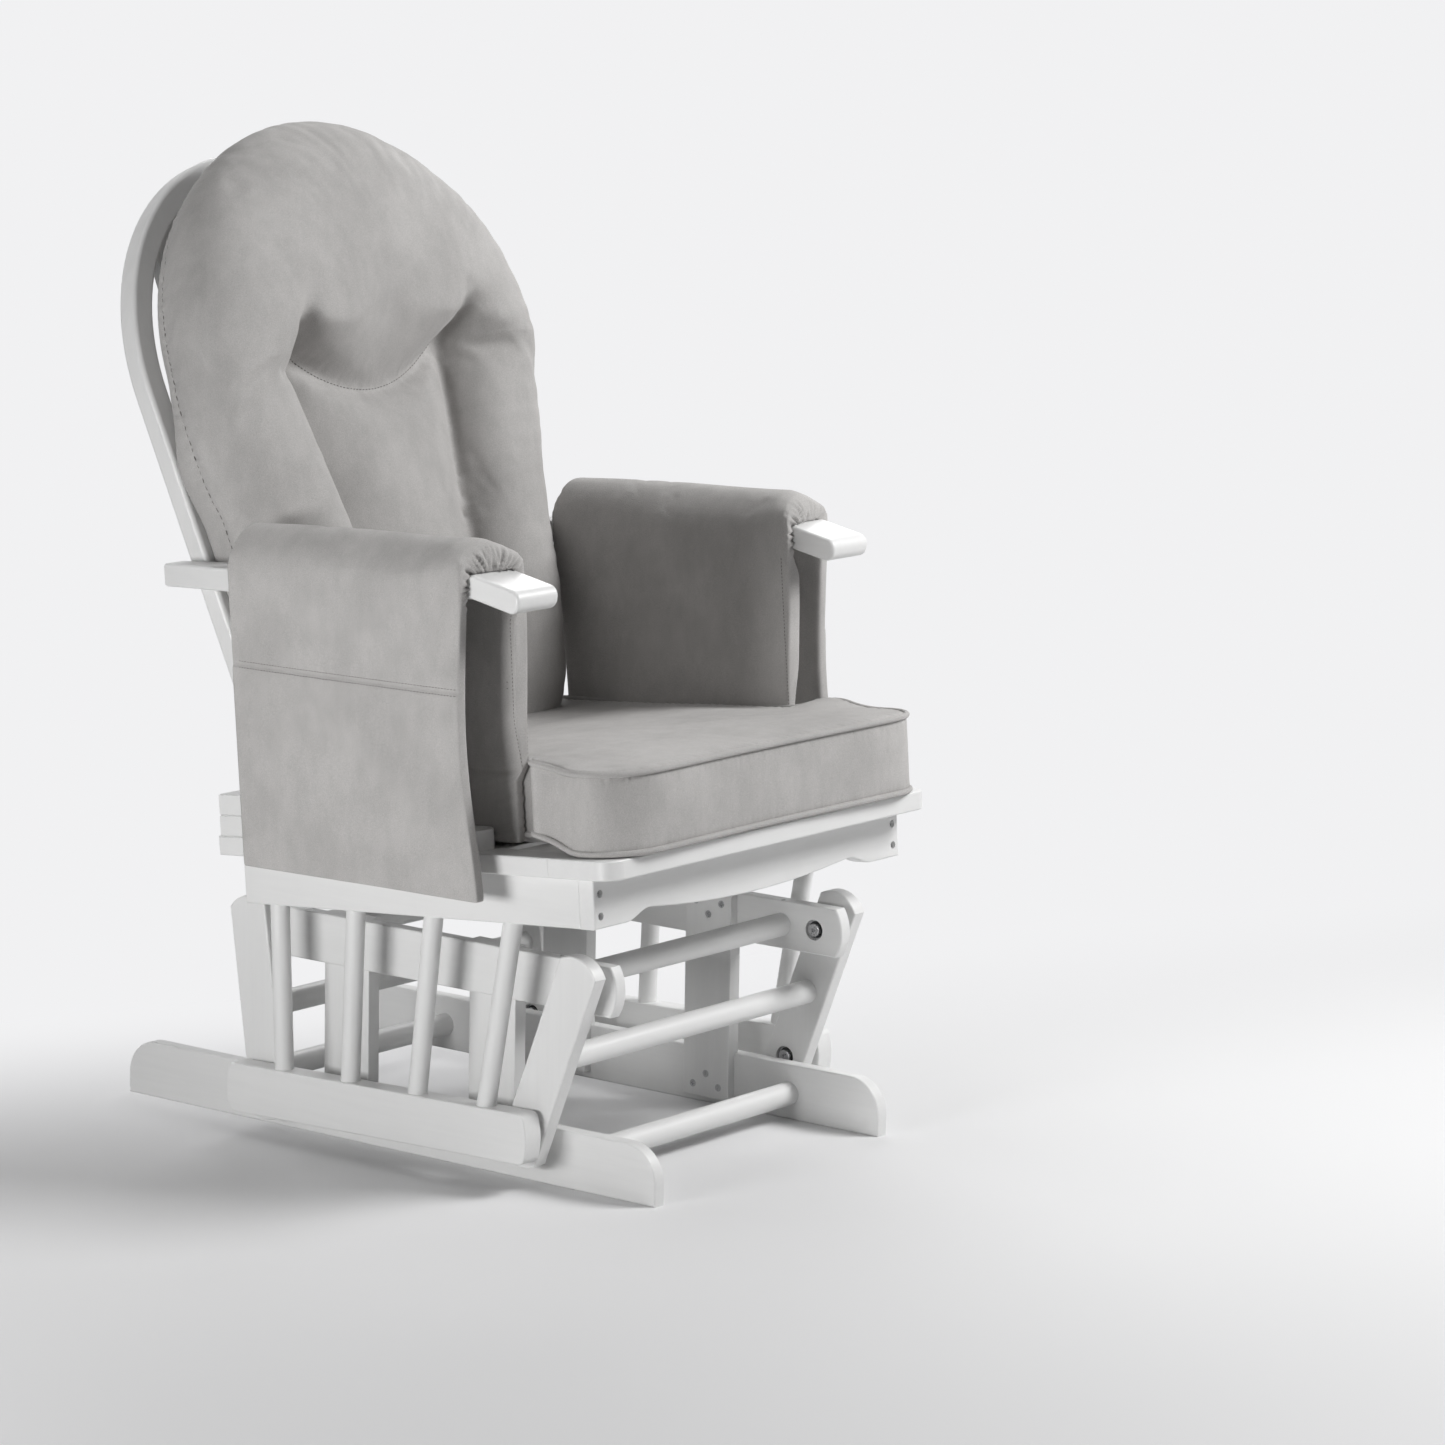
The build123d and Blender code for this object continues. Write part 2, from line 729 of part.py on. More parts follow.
def armrest():
    """Left armrest: drooped at the front, narrowed to a tail beside the hoop at the rear."""
    droop = radians(arm_droop_angle)
    ahead = (-cos(droop), -sin(droop))
    down = (sin(droop), -cos(droop))
    tip_top = (arm_bend + arm_droop_length * ahead[0], arm_top + arm_droop_length * ahead[1])
    tip_low = (tip_top[0] + arm_thickness * down[0], tip_top[1] + arm_thickness * down[1])
    bend_low = arm_bend + arm_thickness * tan(droop / 2)
    face = make_face(
        Polyline(
            (arm_tail_end, arm_underside),
            (bend_low, arm_underside),
            tip_low,
            tip_top,
            (arm_bend, arm_top),
            (arm_tail_end, arm_top),
            close=True,
        )
    )
    solid = extrude(Plane.YZ.offset(arm_inner_x) * face, amount=arm_width)
    taper = make_face(
        Polyline(
            (arm_outer_x, arm_tail_start),
            (arm_outer_x + 1, arm_tail_start),
            (arm_outer_x + 1, arm_tail_end + 1),
            (arm_inner_x + arm_tail_width, arm_tail_end + 1),
            (arm_inner_x + arm_tail_width, arm_tail_end),
            close=True,
        )
    )
    solid -= extrude(Pos(0, 0, arm_underside - 1) * taper, amount=arm_thickness + 2)
    across = solid.edges().filter_by(Axis.X)
    solid = fillet(across.filter_by_position(Axis.Y, tip_top[0] - 1, tip_low[0] + 1), arm_nose)
    across = solid.edges().filter_by(Axis.X)
    bends = across.filter_by_position(Axis.Y, arm_bend - 1, arm_tail_end + 1)
    solid = fillet(solid.edges().filter_by(Axis.X, reverse=True) + bends, arm_edge)
    for index in range(arm_spindles_per_side):
        solid -= arm_spindle_axis(index, tenon_diameter + 2 * fit_gap, tenon_length + fit_gap)
    leg_notch = Plane.XZ.offset(fit_gap) * arch(hoop_radius + fit_gap, 0)
    solid = SEAT * solid - BACK * extrude(leg_notch, amount=-(hoop_depth + 2 * fit_gap))
    return solid - arm_bolt_hole()


# Back
def arch(radius, drop):
    """The area inside an arch of that radius with tapered legs, down to drop below the back rail."""
    taper = radians(hoop_taper)
    side_x = radius * cos(taper)
    side_z = hoop_centre - radius * sin(taper)
    foot_x = side_x - (side_z + drop) * tan(taper)
    outline = [
        Line((-foot_x, -drop), (-side_x, side_z)),
        ThreePointArc((-side_x, side_z), (0, hoop_centre + radius), (side_x, side_z)),
        Line((side_x, side_z), (foot_x, -drop)),
        Line((foot_x, -drop), (-foot_x, -drop)),
    ]
    return make_face(outline)


def leg_middle_x(height):
    """Distance of a hoop leg's middle line from the chair's middle plane at a height up the back."""
    taper = radians(hoop_taper)
    radius = hoop_radius - hoop_width / 2
    return radius * cos(taper) - (hoop_centre - radius * sin(taper) - height) * tan(taper)


def hoop():
    """The bent hoop: arched top, tapered legs, feet trimmed to the back rail and tenoned into it."""
    drop = 3 * hoop_tenon
    face = arch(hoop_radius, drop) - arch(hoop_radius - hoop_width, 2 * drop)
    solid = extrude(Plane.XZ * face, amount=-hoop_depth)
    solid = fillet(solid.faces().filter_by(Axis.Y).edges(), hoop_edge)
    solid = BACK * solid
    solid -= SEAT * block((-hoop_radius, 0, -hoop_radius), (hoop_radius, 2 * deck_rear, back_rail_top))
    solid += [hoop_foot(way, hoop_tenon) for way in (-1, 1)]
    solid -= [back_slat(index, fit_gap) for index in range(back_slats)]
    return solid - arm_bolt_hole() - other_side(arm_bolt_hole())


def hoop_foot(way, reach, grow=0.0):
    """A round tenon on a hoop leg's foot, or the cutter for its hole."""
    x = way * leg_middle_x(0)
    depth = hoop_depth / 2
    radius = hoop_tenon / 2 + grow
    return BACK * extrude(Pos(x, depth, -reach) * Circle(radius), amount=2 * reach)


def back_slat(index, grow=0.0):
    """An upright slat let into the back rail below and the hoop above; grow makes its mortise."""
    middle = (index - (back_slats - 1) / 2) * back_slat_pitch
    half = back_slat_width / 2 + grow
    reach = hoop_centre + hoop_radius
    strip = Pos(middle, reach / 2 - back_slat_mortise - grow) * Rectangle(2 * half, reach)
    face = strip & arch(hoop_radius - hoop_width + back_slat_mortise + grow, 2 * back_slat_mortise)
    front = (hoop_depth - back_slat_thickness) / 2 - grow
    solid = extrude(Plane.XZ.offset(-front) * face, amount=-(back_slat_thickness + 2 * grow))
    return BACK * solid


def back_rail():
    """The flat rail across the rear that the hoop and slats stand in."""
    low = (-arm_base_outer_x, back_rail_front, arm_base_top)
    high = (arm_base_outer_x, deck_rear, back_rail_top)
    solid = SEAT * rounded_block(low, high, Axis.Z)
    solid -= [hoop_foot(way, hoop_tenon + fit_gap, fit_gap) for way in (-1, 1)]
    return solid - [back_slat(index, fit_gap) for index in range(back_slats)]


def arm_bolt_seat_x():
    """Where a bolt's head bears inside a hoop leg."""
    return leg_middle_x(arm_joint_up) - hoop_width / 2 + arm_bolt_head_height + 1


def arm_bolt():
    """The bolt through the left hoop leg into the armrest's tail."""
    seat_x = arm_bolt_seat_x()
    length = arm_inner_x + arm_bolt_grip - seat_x
    solid = pan_screw(
        (seat_x, hoop_depth / 2, arm_joint_up),
        (1, 0, 0),
        arm_bolt_head,
        arm_bolt_head_height,
        arm_bolt_diameter,
        length,
    )
    return BACK * solid


def arm_bolt_hole():
    """The hole for the left arm bolt, counterbored on the inner side."""
    seat_x = arm_bolt_seat_x()
    y = hoop_depth / 2
    z = arm_joint_up
    hole = rod_x(seat_x, arm_inner_x + arm_bolt_grip + fit_gap, y, z, arm_bolt_diameter + 2 * fit_gap)
    hole += rod_x(seat_x - hoop_width, seat_x, y, z, arm_bolt_head + 2 * fit_gap)
    return BACK * hole


# Lower pivot hardware that rides on the seat
def lower_bolt(y, z):
    """A left lower pivot bolt: head in the link's recess, shank in the lower rail's insert."""
    x_head = link_inner_x + head_recess - running_gap
    length = lower_rail_inner_x + insert_length - x_head - 1
    return socket_bolt(x_head, 1, length, y, z)


def lower_spacer(y, z):
    """The spacer that keeps the lower rail off a link."""
    return ring_x(
        link_outer_x + running_gap, lower_rail_inner_x, y, z, spacer_diameter, bolt_diameter + 2 * fit_gap
    )


# Cushions and arm pads, as plain closed solids
def seat_cushion():
    """The seat cushion: a nose ahead of the arm pads and a narrower part between them."""
    low = deck_thickness + soft_gap
    high = deck_thickness + seat_cushion_height
    nose_half = deck_half_width - seat_cushion_nose_inset
    nose_rear = seat_cushion_nose_depth
    nose = block((-nose_half, -seat_cushion_front, low), (nose_half, nose_rear, high))
    corners = nose.edges().filter_by(Axis.Z).sort_by(Axis.Y)[:2]
    nose = fillet(corners, seat_cushion_corner)
    half = pad_face_x - soft_gap
    rear = back_rail_front - seat_cushion_rear_gap
    return SEAT * (nose + block((-half, 0, low), (half, rear, high)))


def back_cushion():
    """The back cushion: an arched outline, narrow between the arm pads, standing on the seat cushion."""
    shoulder_drop = (back_cushion_centre - back_cushion_waist) / 8
    shoulder_z = back_cushion_centre - shoulder_drop
    shoulder_x = sqrt(back_cushion_radius**2 - shoulder_drop**2)
    drop = back_cushion_thickness / 2
    waist_x = pad_face_x - back_cushion_waist_gap
    foot_x = pad_face_x - back_cushion_foot_gap
    outline = [
        Polyline(
            (-shoulder_x, shoulder_z),
            (-waist_x, back_cushion_waist),
            (-foot_x, -drop),
            (foot_x, -drop),
            (waist_x, back_cushion_waist),
            (shoulder_x, shoulder_z),
        ),
        ThreePointArc(
            (shoulder_x, shoulder_z),
            (0, back_cushion_centre + back_cushion_radius),
            (-shoulder_x, shoulder_z),
        ),
    ]
    solid = extrude(Plane.XZ.offset(soft_gap) * make_face(outline), amount=back_cushion_thickness)
    solid = fillet(solid.faces().sort_by(Axis.Y)[0].edges(), back_cushion_edge)
    solid = BACK * fillet(solid.faces().sort_by(Axis.Y)[-1].edges(), back_cushion_rear_edge)
    seat_top = deck_thickness + seat_cushion_height + soft_gap
    reach = 2 * back_cushion_radius
    return solid - SEAT * block((-reach, -reach, -reach), (reach, 2 * deck_rear, seat_top))


def arm_pad():
    """Left arm pad: a padded cover hung over the armrest, with an outer and an inner flap."""
    outer = arm_outer_x + soft_gap
    inner = arm_inner_x - soft_gap
    inner_hem = deck_thickness + pad_inner_hem_gap
    under = arm_top + soft_gap
    top = under + pad_top_thickness
    face = make_face(
        Polyline(
            (outer, pad_outer_hem),
            (outer + pad_outer_thickness, pad_outer_hem),
            (outer + pad_outer_thickness, top),
            (pad_face_x, top),
            (pad_face_x, inner_hem),
            (inner, inner_hem),
            (inner, under),
            (outer, under),
            close=True,
        )
    )
    crown = face.vertices().filter_by_position(Axis.Y, top - 1, top + 1)
    face = fillet(crown, pad_roll)
    return SEAT * extrude(Plane.XZ.offset(-pad_front) * face, amount=-(pad_rear - pad_front))


def base_pieces():
    """The fixed base."""
    rail = floor_rail()
    upper = upper_rail()
    pieces = {
        "floor_rail_left": rail,
        "floor_rail_right": other_side(rail),
        "upper_rail_left": upper,
        "upper_rail_right": other_side(upper),
        "floor_dowel_front": dowel(rail_inner_x, floor_dowel_front_y, floor_dowel_z),
        "floor_dowel_rear": dowel(rail_inner_x, floor_dowel_rear_y, floor_dowel_z),
        "upper_dowel_front": upper_dowel(upper_dowel_front_y),
        "upper_dowel_rear": upper_dowel(upper_dowel_rear_y),
    }
    screws = base_post_screws()
    holes = screw_holes(screws)
    for place, y in (("front", front_post_y), ("rear", rear_post_y)):
        post = post_blank(y) - holes
        pieces[f"post_{place}_left"] = post
        pieces[f"post_{place}_right"] = other_side(post)
    pieces["post_screws"] = group(both_sides(screws))
    locks = [lock_screw(y) for y in (upper_dowel_front_y, upper_dowel_rear_y)]
    pieces["dowel_lock_screws"] = group(both_sides(locks))
    bearings = []
    for y in (front_pivot_y, rear_pivot_y):
        bearings += bearing(rail_inner_x + head_recess, y, pivot_z, bolt_diameter + 2 * fit_gap)
    pieces["upper_pivot_bearings"] = group(both_sides(bearings))
    return pieces


def seat_pieces():
    """Everything that glides with the sitter."""
    feet = ((front_foot_y, front_foot_z), (rear_foot_y, rear_foot_z))
    spindles = [spindle(index) for index in range(spindles_per_side)]
    arm_spindles = [arm_spindle(index) for index in range(arm_spindles_per_side)]
    pieces = {
        "seat_front_rail": front_rail(),
        "seat_rear_rail": rear_rail(),
        "deck_front_board": deck_front(),
        "deck_rear_board": deck_back(),
        "seat_slats": group([seat_slat(index) for index in range(seat_slats)]),
        "base_spindles_left": group(spindles),
        "base_spindles_right": group([other_side(solid) for solid in spindles]),
        "arm_spindles_left": group(arm_spindles),
        "arm_spindles_right": group([other_side(solid) for solid in arm_spindles]),
        "back_rail": back_rail(),
        "back_hoop": hoop(),
        "back_slats": group([back_slat(index) for index in range(back_slats)]),
        "lower_pivot_bolts": group(both_sides([lower_bolt(y, z) for y, z in feet])),
        "lower_pivot_spacers": group(both_sides([lower_spacer(y, z) for y, z in feet])),
        "lower_rail_inserts": group(both_sides([insert_sleeve(lower_rail_inner_x, y, z) for y, z in feet])),
        "front_rail_screws": group(both_sides(front_screws())),
        "arm_bolts": group(both_sides([arm_bolt()])),
        "seat_cushion": seat_cushion(),
        "back_cushion": back_cushion(),
    }
    paired = {
        "lower_rail": lower_rail(),
        "seat_side_rail": side_rail(),
        "deck_side_board": deck_side(),
        "arm_base_rail": arm_base_rail(),
        "armrest": armrest(),
        "arm_pad": arm_pad(),
    }
    for name, left in paired.items():
        pieces[f"{name}_left"] = left
        pieces[f"{name}_right"] = other_side(left)
    return pieces


def all_pieces():
    """Every node by name, centred so that the origin is on the floor under the middle of the box."""
    pieces = base_pieces()
    pieces.update(
        link_body("front", front_pivot_y, front_lean, front_foot_y, front_foot_z, open_pivot_play)
    )
    pieces.update(link_body("rear", rear_pivot_y, -rear_lean, rear_foot_y, rear_foot_z, 0.0))
    pieces.update(seat_pieces())
    boxes = [piece.bounding_box() for piece in pieces.values()]
    shift = -(min(box.min.Y for box in boxes) + max(box.max.Y for box in boxes)) / 2
    return {name: Pos(0, shift, 0) * piece for name, piece in pieces.items()}, shift


def main():
    """Writes one file per node and prints the pivots' places."""
    os.makedirs("parts", exist_ok=True)
    pieces, shift = all_pieces()
    for name, piece in pieces.items():
        export_step(piece, f"parts/{name}.step")
    print(f"{len(pieces)} nodes, moved {shift:.3f} along Y")
    pivots = {
        "front upper": (front_pivot_y, pivot_z),
        "rear upper": (rear_pivot_y, pivot_z),
        "front lower": (front_foot_y, front_foot_z),
        "rear lower": (rear_foot_y, rear_foot_z),
    }
    for name, (y, z) in pivots.items():
        print(f"{name} pivot: y {y + shift:.3f} z {z:.3f}")


main()
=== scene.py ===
import json
from math import cos, pi, radians, sin

import bmesh
import bpy
import numpy as np
from bpy.props import FloatProperty, FloatVectorProperty, PointerProperty
from mathutils import Matrix, Vector
from mathutils.bvhtree import BVHTree


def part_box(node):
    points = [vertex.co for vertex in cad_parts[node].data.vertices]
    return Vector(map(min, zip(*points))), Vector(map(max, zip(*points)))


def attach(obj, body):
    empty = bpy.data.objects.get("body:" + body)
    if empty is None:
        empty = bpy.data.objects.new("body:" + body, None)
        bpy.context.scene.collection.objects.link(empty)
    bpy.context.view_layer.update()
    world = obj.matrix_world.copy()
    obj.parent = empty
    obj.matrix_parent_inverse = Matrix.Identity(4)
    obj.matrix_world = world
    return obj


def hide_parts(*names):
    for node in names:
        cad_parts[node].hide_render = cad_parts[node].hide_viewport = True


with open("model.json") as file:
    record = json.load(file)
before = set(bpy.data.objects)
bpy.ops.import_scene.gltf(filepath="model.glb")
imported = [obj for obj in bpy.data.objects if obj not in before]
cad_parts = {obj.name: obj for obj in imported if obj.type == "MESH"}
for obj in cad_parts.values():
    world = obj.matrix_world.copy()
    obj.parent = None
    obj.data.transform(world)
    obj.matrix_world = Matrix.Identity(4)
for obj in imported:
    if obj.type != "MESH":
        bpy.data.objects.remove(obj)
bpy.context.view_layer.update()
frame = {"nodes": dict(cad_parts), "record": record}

bl_info = {
    "name": "Glider nursery chair",
    "version": (1, 0, 0),
    "blender": (4, 5, 0),
    "location": "View3D > Sidebar > Glider chair",
    "description": "Finishes a glider nursery chair: painted frame, steel fittings, cushions and arm pads",
    "category": "Object",
}

# The seat frame runs rearward and up from the front rail; the back frame leans from the back rail
SEAT_TILT = radians(4.75)
BACK_RECLINE = radians(17.75)
rail_low, rail_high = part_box("floor_rail_left")
CHAIR_MIDDLE = (rail_low[1] + rail_high[1]) / 2
SEAT_FORWARD, SEAT_UP = 0.322, 0.3365
BACK_REARWARD, BACK_UP = 0.441, 0.063
SEAT = Matrix.Translation((0, CHAIR_MIDDLE - SEAT_FORWARD, SEAT_UP)) @ Matrix.Rotation(-SEAT_TILT, 4, "X")
BACK = SEAT @ Matrix.Translation((0, BACK_REARWARD, BACK_UP)) @ Matrix.Rotation(-BACK_RECLINE, 4, "X")
MM = 1000.0


class ChairFinish(bpy.types.PropertyGroup):
    """Colours and surface values of the chair's finishes"""

    paint: FloatVectorProperty(
        name="Paint", description="White satin paint on the wood",
        subtype="COLOR", default=(0.775, 0.775, 0.77),
    )
    paint_roughness: FloatProperty(
        name="Paint roughness", description="How dull the paint is",
        subtype="FACTOR", default=0.36, min=0, max=1,
    )
    suede: FloatVectorProperty(
        name="Suede", description="Brushed suede, nap lying down",
        subtype="COLOR", default=(0.492, 0.480, 0.470),
    )
    suede_raised: FloatVectorProperty(
        name="Raised nap", description="Brushed suede, nap standing up",
        subtype="COLOR", default=(0.392, 0.382, 0.374),
    )
    thread: FloatVectorProperty(
        name="Thread", description="Sewing thread", subtype="COLOR", default=(0.20, 0.19, 0.18)
    )
    zinc: FloatVectorProperty(
        name="Zinc", description="Zinc plating on bolts and screws",
        subtype="COLOR", default=(0.60, 0.60, 0.61),
    )


class ChairCushions(bpy.types.PropertyGroup):
    """Sizes of the cushions and arm pads"""

    seat_crown: FloatProperty(
        name="Seat crown", description="Rise of the seat cushion's middle", unit="LENGTH", default=0.006
    )
    piping: FloatProperty(
        name="Piping", description="Diameter of the seat cushion's piping", unit="LENGTH", default=0.0062
    )
    seam_depth: FloatProperty(
        name="Seam depth", description="Depth of the back cushion at its side seams",
        unit="LENGTH", default=0.068,
    )
    stitch: FloatProperty(
        name="Stitch", description="Distance from one stitch to the next", unit="LENGTH", default=0.0048
    )


class ChairStage(bpy.types.PropertyGroup):
    """Floor and light around the chair"""

    floor: FloatVectorProperty(
        name="Floor", description="Pale floor", subtype="COLOR", default=(0.80, 0.80, 0.805)
    )
    backdrop: FloatVectorProperty(
        name="Backdrop", description="Pale background behind the floor",
        subtype="COLOR", default=(0.88, 0.88, 0.89),
    )
    side: FloatProperty(
        name="Side light", description="Power of the soft light on the left", default=5.9, min=0
    )
    front: FloatProperty(
        name="Front light", description="Power of the soft light in front", default=77.0, min=0
    )
    top: FloatProperty(name="Top light", description="Power of the soft light overhead", default=14.0, min=0)
    rear: FloatProperty(name="Rear light", description="Power of the soft light behind", default=16.0, min=0)
    fill: FloatProperty(name="Fill", description="Strength of the light all round", default=0.06, min=0)


# Mesh helpers
def points_of(mesh):
    """A mesh's points in mm."""
    flat = np.empty(3 * len(mesh.vertices), np.float32)
    mesh.vertices.foreach_get("co", flat)
    return flat.reshape(-1, 3).astype(float) * MM


def put_points(mesh, points):
    """Moves a mesh's points to these places in mm."""
    mesh.vertices.foreach_set("co", (points / MM).astype(np.float32).ravel())
    mesh.update()


def normals_of(mesh):
    """A mesh's point normals."""
    flat = np.empty(3 * len(mesh.vertices), np.float32)
    mesh.vertex_normals.foreach_get("vector", flat)
    return flat.reshape(-1, 3).astype(float)


def new_object(name, mesh):
    """A new object at the origin."""
    obj = bpy.data.objects.new(name, mesh)
    bpy.context.scene.collection.objects.link(obj)
    return obj


def bake_modifiers(obj):
    """Turns an object's modifiers into its mesh."""
    bpy.context.view_layer.update()
    graph = bpy.context.evaluated_depsgraph_get()
    old, obj.data = obj.data, bpy.data.meshes.new_from_object(obj.evaluated_get(graph))
    obj.modifiers.clear()
    bpy.data.meshes.remove(old)


def soft_copy(node, name, local, voxel):
    """A copy of a soft node in its own frame, with merged points and even faces."""
    mesh = frame["nodes"][node].data.copy()
    shape = bmesh.new()
    shape.from_mesh(mesh)
    bmesh.ops.remove_doubles(shape, verts=shape.verts, dist=1e-5)
    shape.to_mesh(mesh)
    shape.free()
    mesh.materials.clear()
    mesh.transform(local.inverted())
    obj = new_object(name, mesh)
    even_faces(obj, voxel)
    return obj


def even_faces(obj, voxel):
    """Rebuilds a closed mesh with even faces of one size."""
    remesh = obj.modifiers.new("even faces", "REMESH")
    remesh.mode = "VOXEL"
    remesh.voxel_size = voxel
    bake_modifiers(obj)


def subdivide(obj):
    """One smooth subdivision, made part of the mesh."""
    smooth = obj.modifiers.new("smooth", "SUBSURF")
    smooth.levels = smooth.render_levels = 1
    bake_modifiers(obj)


def relax(obj, rounds, keep=None):
    """Evens out a mesh; points marked in keep stay."""
    shape = bmesh.new()
    shape.from_mesh(obj.data)
    shape.verts.ensure_lookup_table()
    verts = shape.verts[:] if keep is None else [v for v in shape.verts if not keep[v.index]]
    for _ in range(rounds):
        bmesh.ops.smooth_vert(
            shape, verts=verts, factor=0.5, use_axis_x=True, use_axis_y=True, use_axis_z=True
        )
    shape.to_mesh(obj.data)
    shape.free()
    obj.data.update()


PRESSURE, FILLING_FRAMES = 4.0, 20


def inflate(obj, held, cap):
    """Fills a cover out with the cloth solver; held points stay and no point moves more than cap (mm)."""
    scene = bpy.context.scene
    start = points_of(obj.data)
    pins = obj.vertex_groups.new(name="held")
    pins.add(np.flatnonzero(held).tolist(), 1.0, "REPLACE")
    cloth = obj.modifiers.new("filling", "CLOTH")
    settings = cloth.settings
    settings.quality = 5
    settings.use_pressure = True
    settings.uniform_pressure_force = PRESSURE
    settings.vertex_group_mass = pins.name
    settings.effector_weights.gravity = 0
    cloth.collision_settings.use_collision = False
    cloth.point_cache.frame_start, cloth.point_cache.frame_end = 1, FILLING_FRAMES
    for step in range(1, FILLING_FRAMES + 1):
        scene.frame_set(step)
    graph = bpy.context.evaluated_depsgraph_get()
    swollen = points_of(obj.evaluated_get(graph).data)
    obj.modifiers.clear()
    obj.vertex_groups.clear()
    scene.frame_set(1)
    move = swollen - start
    far = np.linalg.norm(move, axis=1, keepdims=True)
    put_points(obj.data, start + move * cap * np.tanh(far / cap) / np.maximum(far, 1e-9))


def along(flat, path):
    """Distance from flat points to a path, and how far along the path the nearest place is."""
    gap, arc, start = np.full(len(flat), np.inf), np.zeros(len(flat)), 0.0
    path = np.asarray(path, float)
    for a, b in zip(path[:-1], path[1:]):
        length = np.hypot(*(b - a))
        share = np.clip((flat - a) @ (b - a) / length**2, 0, 1)
        this = np.hypot(*(flat - a - share[:, None] * (b - a)).T)
        near = this < gap
        gap[near], arc[near] = this[near], start + share[near] * length
        start += length
    return gap, arc


def path_length(path):
    """Length of a path."""
    return float(np.hypot(*np.diff(np.asarray(path, float), axis=0).T).sum())


def dome(share):
    """Rises from 0 like a quarter circle and stays at 1."""
    return np.sqrt(1 - (1 - np.clip(share, 0, 1)) ** 2)


def ease(share):
    """Goes smoothly from 0 to 1."""
    share = np.clip(share, 0, 1)
    return share * share * (3 - 2 * share)


def gathers(arc, pitch, turn=0.0):
    """Uneven sewn gathers along a seam, from -1 to 1."""
    angle = 2 * pi * arc / pitch
    wander = 1.4 * np.sin(angle / 4.3 + turn) + 0.9 * np.sin(angle / 9.1 + 2 * turn)
    size = 0.68 + 0.32 * np.sin(angle / 2.7 + 1 + turn)
    return size * np.sin(angle + wander)


def smooth_shade(obj):
    """Smooth shading on every face."""
    obj.data.polygons.foreach_set("use_smooth", [True] * len(obj.data.polygons))
    obj.data.update()


def place_piece(obj, local, material):
    """Puts a finished piece from its own frame into the chair, on the seat."""
    obj.data.transform(local)
    obj.data.materials.clear()
    obj.data.materials.append(material)
    smooth_shade(obj)
    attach(obj, "seat")


def stitch_rows(name, rows, pitch, width, local, material):
    """Short stitches along rows of (place, normal) in m, as one piece."""
    shape = bmesh.new()
    for row in rows:
        for (here, up), (there, _) in zip(row[:-1], row[1:]):
            run = there - here
            if run.length < 0.3 * pitch or run.length > 3 * pitch:
                continue
            x = run.normalized()
            z = (up - x * up.dot(x)).normalized()
            turn = Matrix((x, z.cross(x), z)).transposed().to_4x4()
            size = Matrix.Diagonal((0.37 * run.length, width / 2, width * 0.42, 1))
            at = Matrix.Translation((here + there) / 2 + z * width * 0.1)
            bmesh.ops.create_uvsphere(shape, u_segments=6, v_segments=4, radius=1, matrix=at @ turn @ size)
    mesh = bpy.data.meshes.new(name)
    shape.to_mesh(mesh)
    shape.free()
    place_piece(new_object(name, mesh), local, material)


def on_surface(tree, starts, way):
    """Where rays from these places (mm) first meet a surface, as (place, normal) in m."""
    row = []
    for start in starts:
        place, normal, _, _ = tree.ray_cast(Vector(start) / MM, Vector(way))
        if place is not None:
            row.append((place, normal))
    return row


def surface_of(obj):
    """An object's faces, ready for rays."""
    mesh = obj.data
    return BVHTree.FromPolygons([v.co.copy() for v in mesh.vertices], [p.vertices[:] for p in mesh.polygons])


def even_steps(path, pitch):
    """Points at even steps along a path, in the path's own units."""
    path = np.asarray(path, float)
    arc = np.concatenate(([0], np.cumsum(np.linalg.norm(np.diff(path, axis=0), axis=1))))
    steps = np.arange(0, arc[-1], pitch)
    return np.stack([np.interp(steps, arc, path[:, k]) for k in range(path.shape[1])], axis=1)


# Material helpers
FINISH_SOCKETS = (
    ("Colour", "NodeSocketColor"), ("Roughness", "NodeSocketFloat"), ("Height", "NodeSocketFloat"),
)


def node_group(name, inputs):
    """A new shader node group that gives a finish from named inputs."""
    tree = bpy.data.node_groups.new(name, "ShaderNodeTree")
    for label, kind, value in inputs:
        socket = tree.interface.new_socket(name=label, in_out="INPUT", socket_type=kind)
        if value is not None:
            socket.default_value = value
    for label, kind in FINISH_SOCKETS:
        tree.interface.new_socket(name=label, in_out="OUTPUT", socket_type=kind)
    return tree, tree.nodes.new("NodeGroupInput"), tree.nodes.new("NodeGroupOutput")


def add_node(tree, kind, **values):
    """A new node with its settings."""
    node = tree.nodes.new(kind)
    for name, value in values.items():
        setattr(node, name, value)
    return node


def noise(tree, vector, scale, detail=2.0, rough=0.5):
    """Noise on a vector; gives the factor socket."""
    node = add_node(tree, "ShaderNodeTexNoise")
    tree.links.new(vector, node.inputs["Vector"])
    node.inputs["Scale"].default_value = scale
    node.inputs["Detail"].default_value = detail
    node.inputs["Roughness"].default_value = rough
    return node.outputs["Fac"]


def stretched(tree, vector, scale):
    """A vector scaled along each axis."""
    node = add_node(tree, "ShaderNodeMapping")
    tree.links.new(vector, node.inputs["Vector"])
    node.inputs["Scale"].default_value = scale
    return node.outputs["Vector"]


def remapped(tree, value, low, high, to_low, to_high):
    """A value moved from one range to another, smoothly."""
    node = add_node(tree, "ShaderNodeMapRange", interpolation_type="SMOOTHSTEP")
    tree.links.new(value, node.inputs["Value"])
    for label, number in zip(("From Min", "From Max", "To Min", "To Max"), (low, high, to_low, to_high)):
        node.inputs[label].default_value = number
    return node.outputs["Result"]


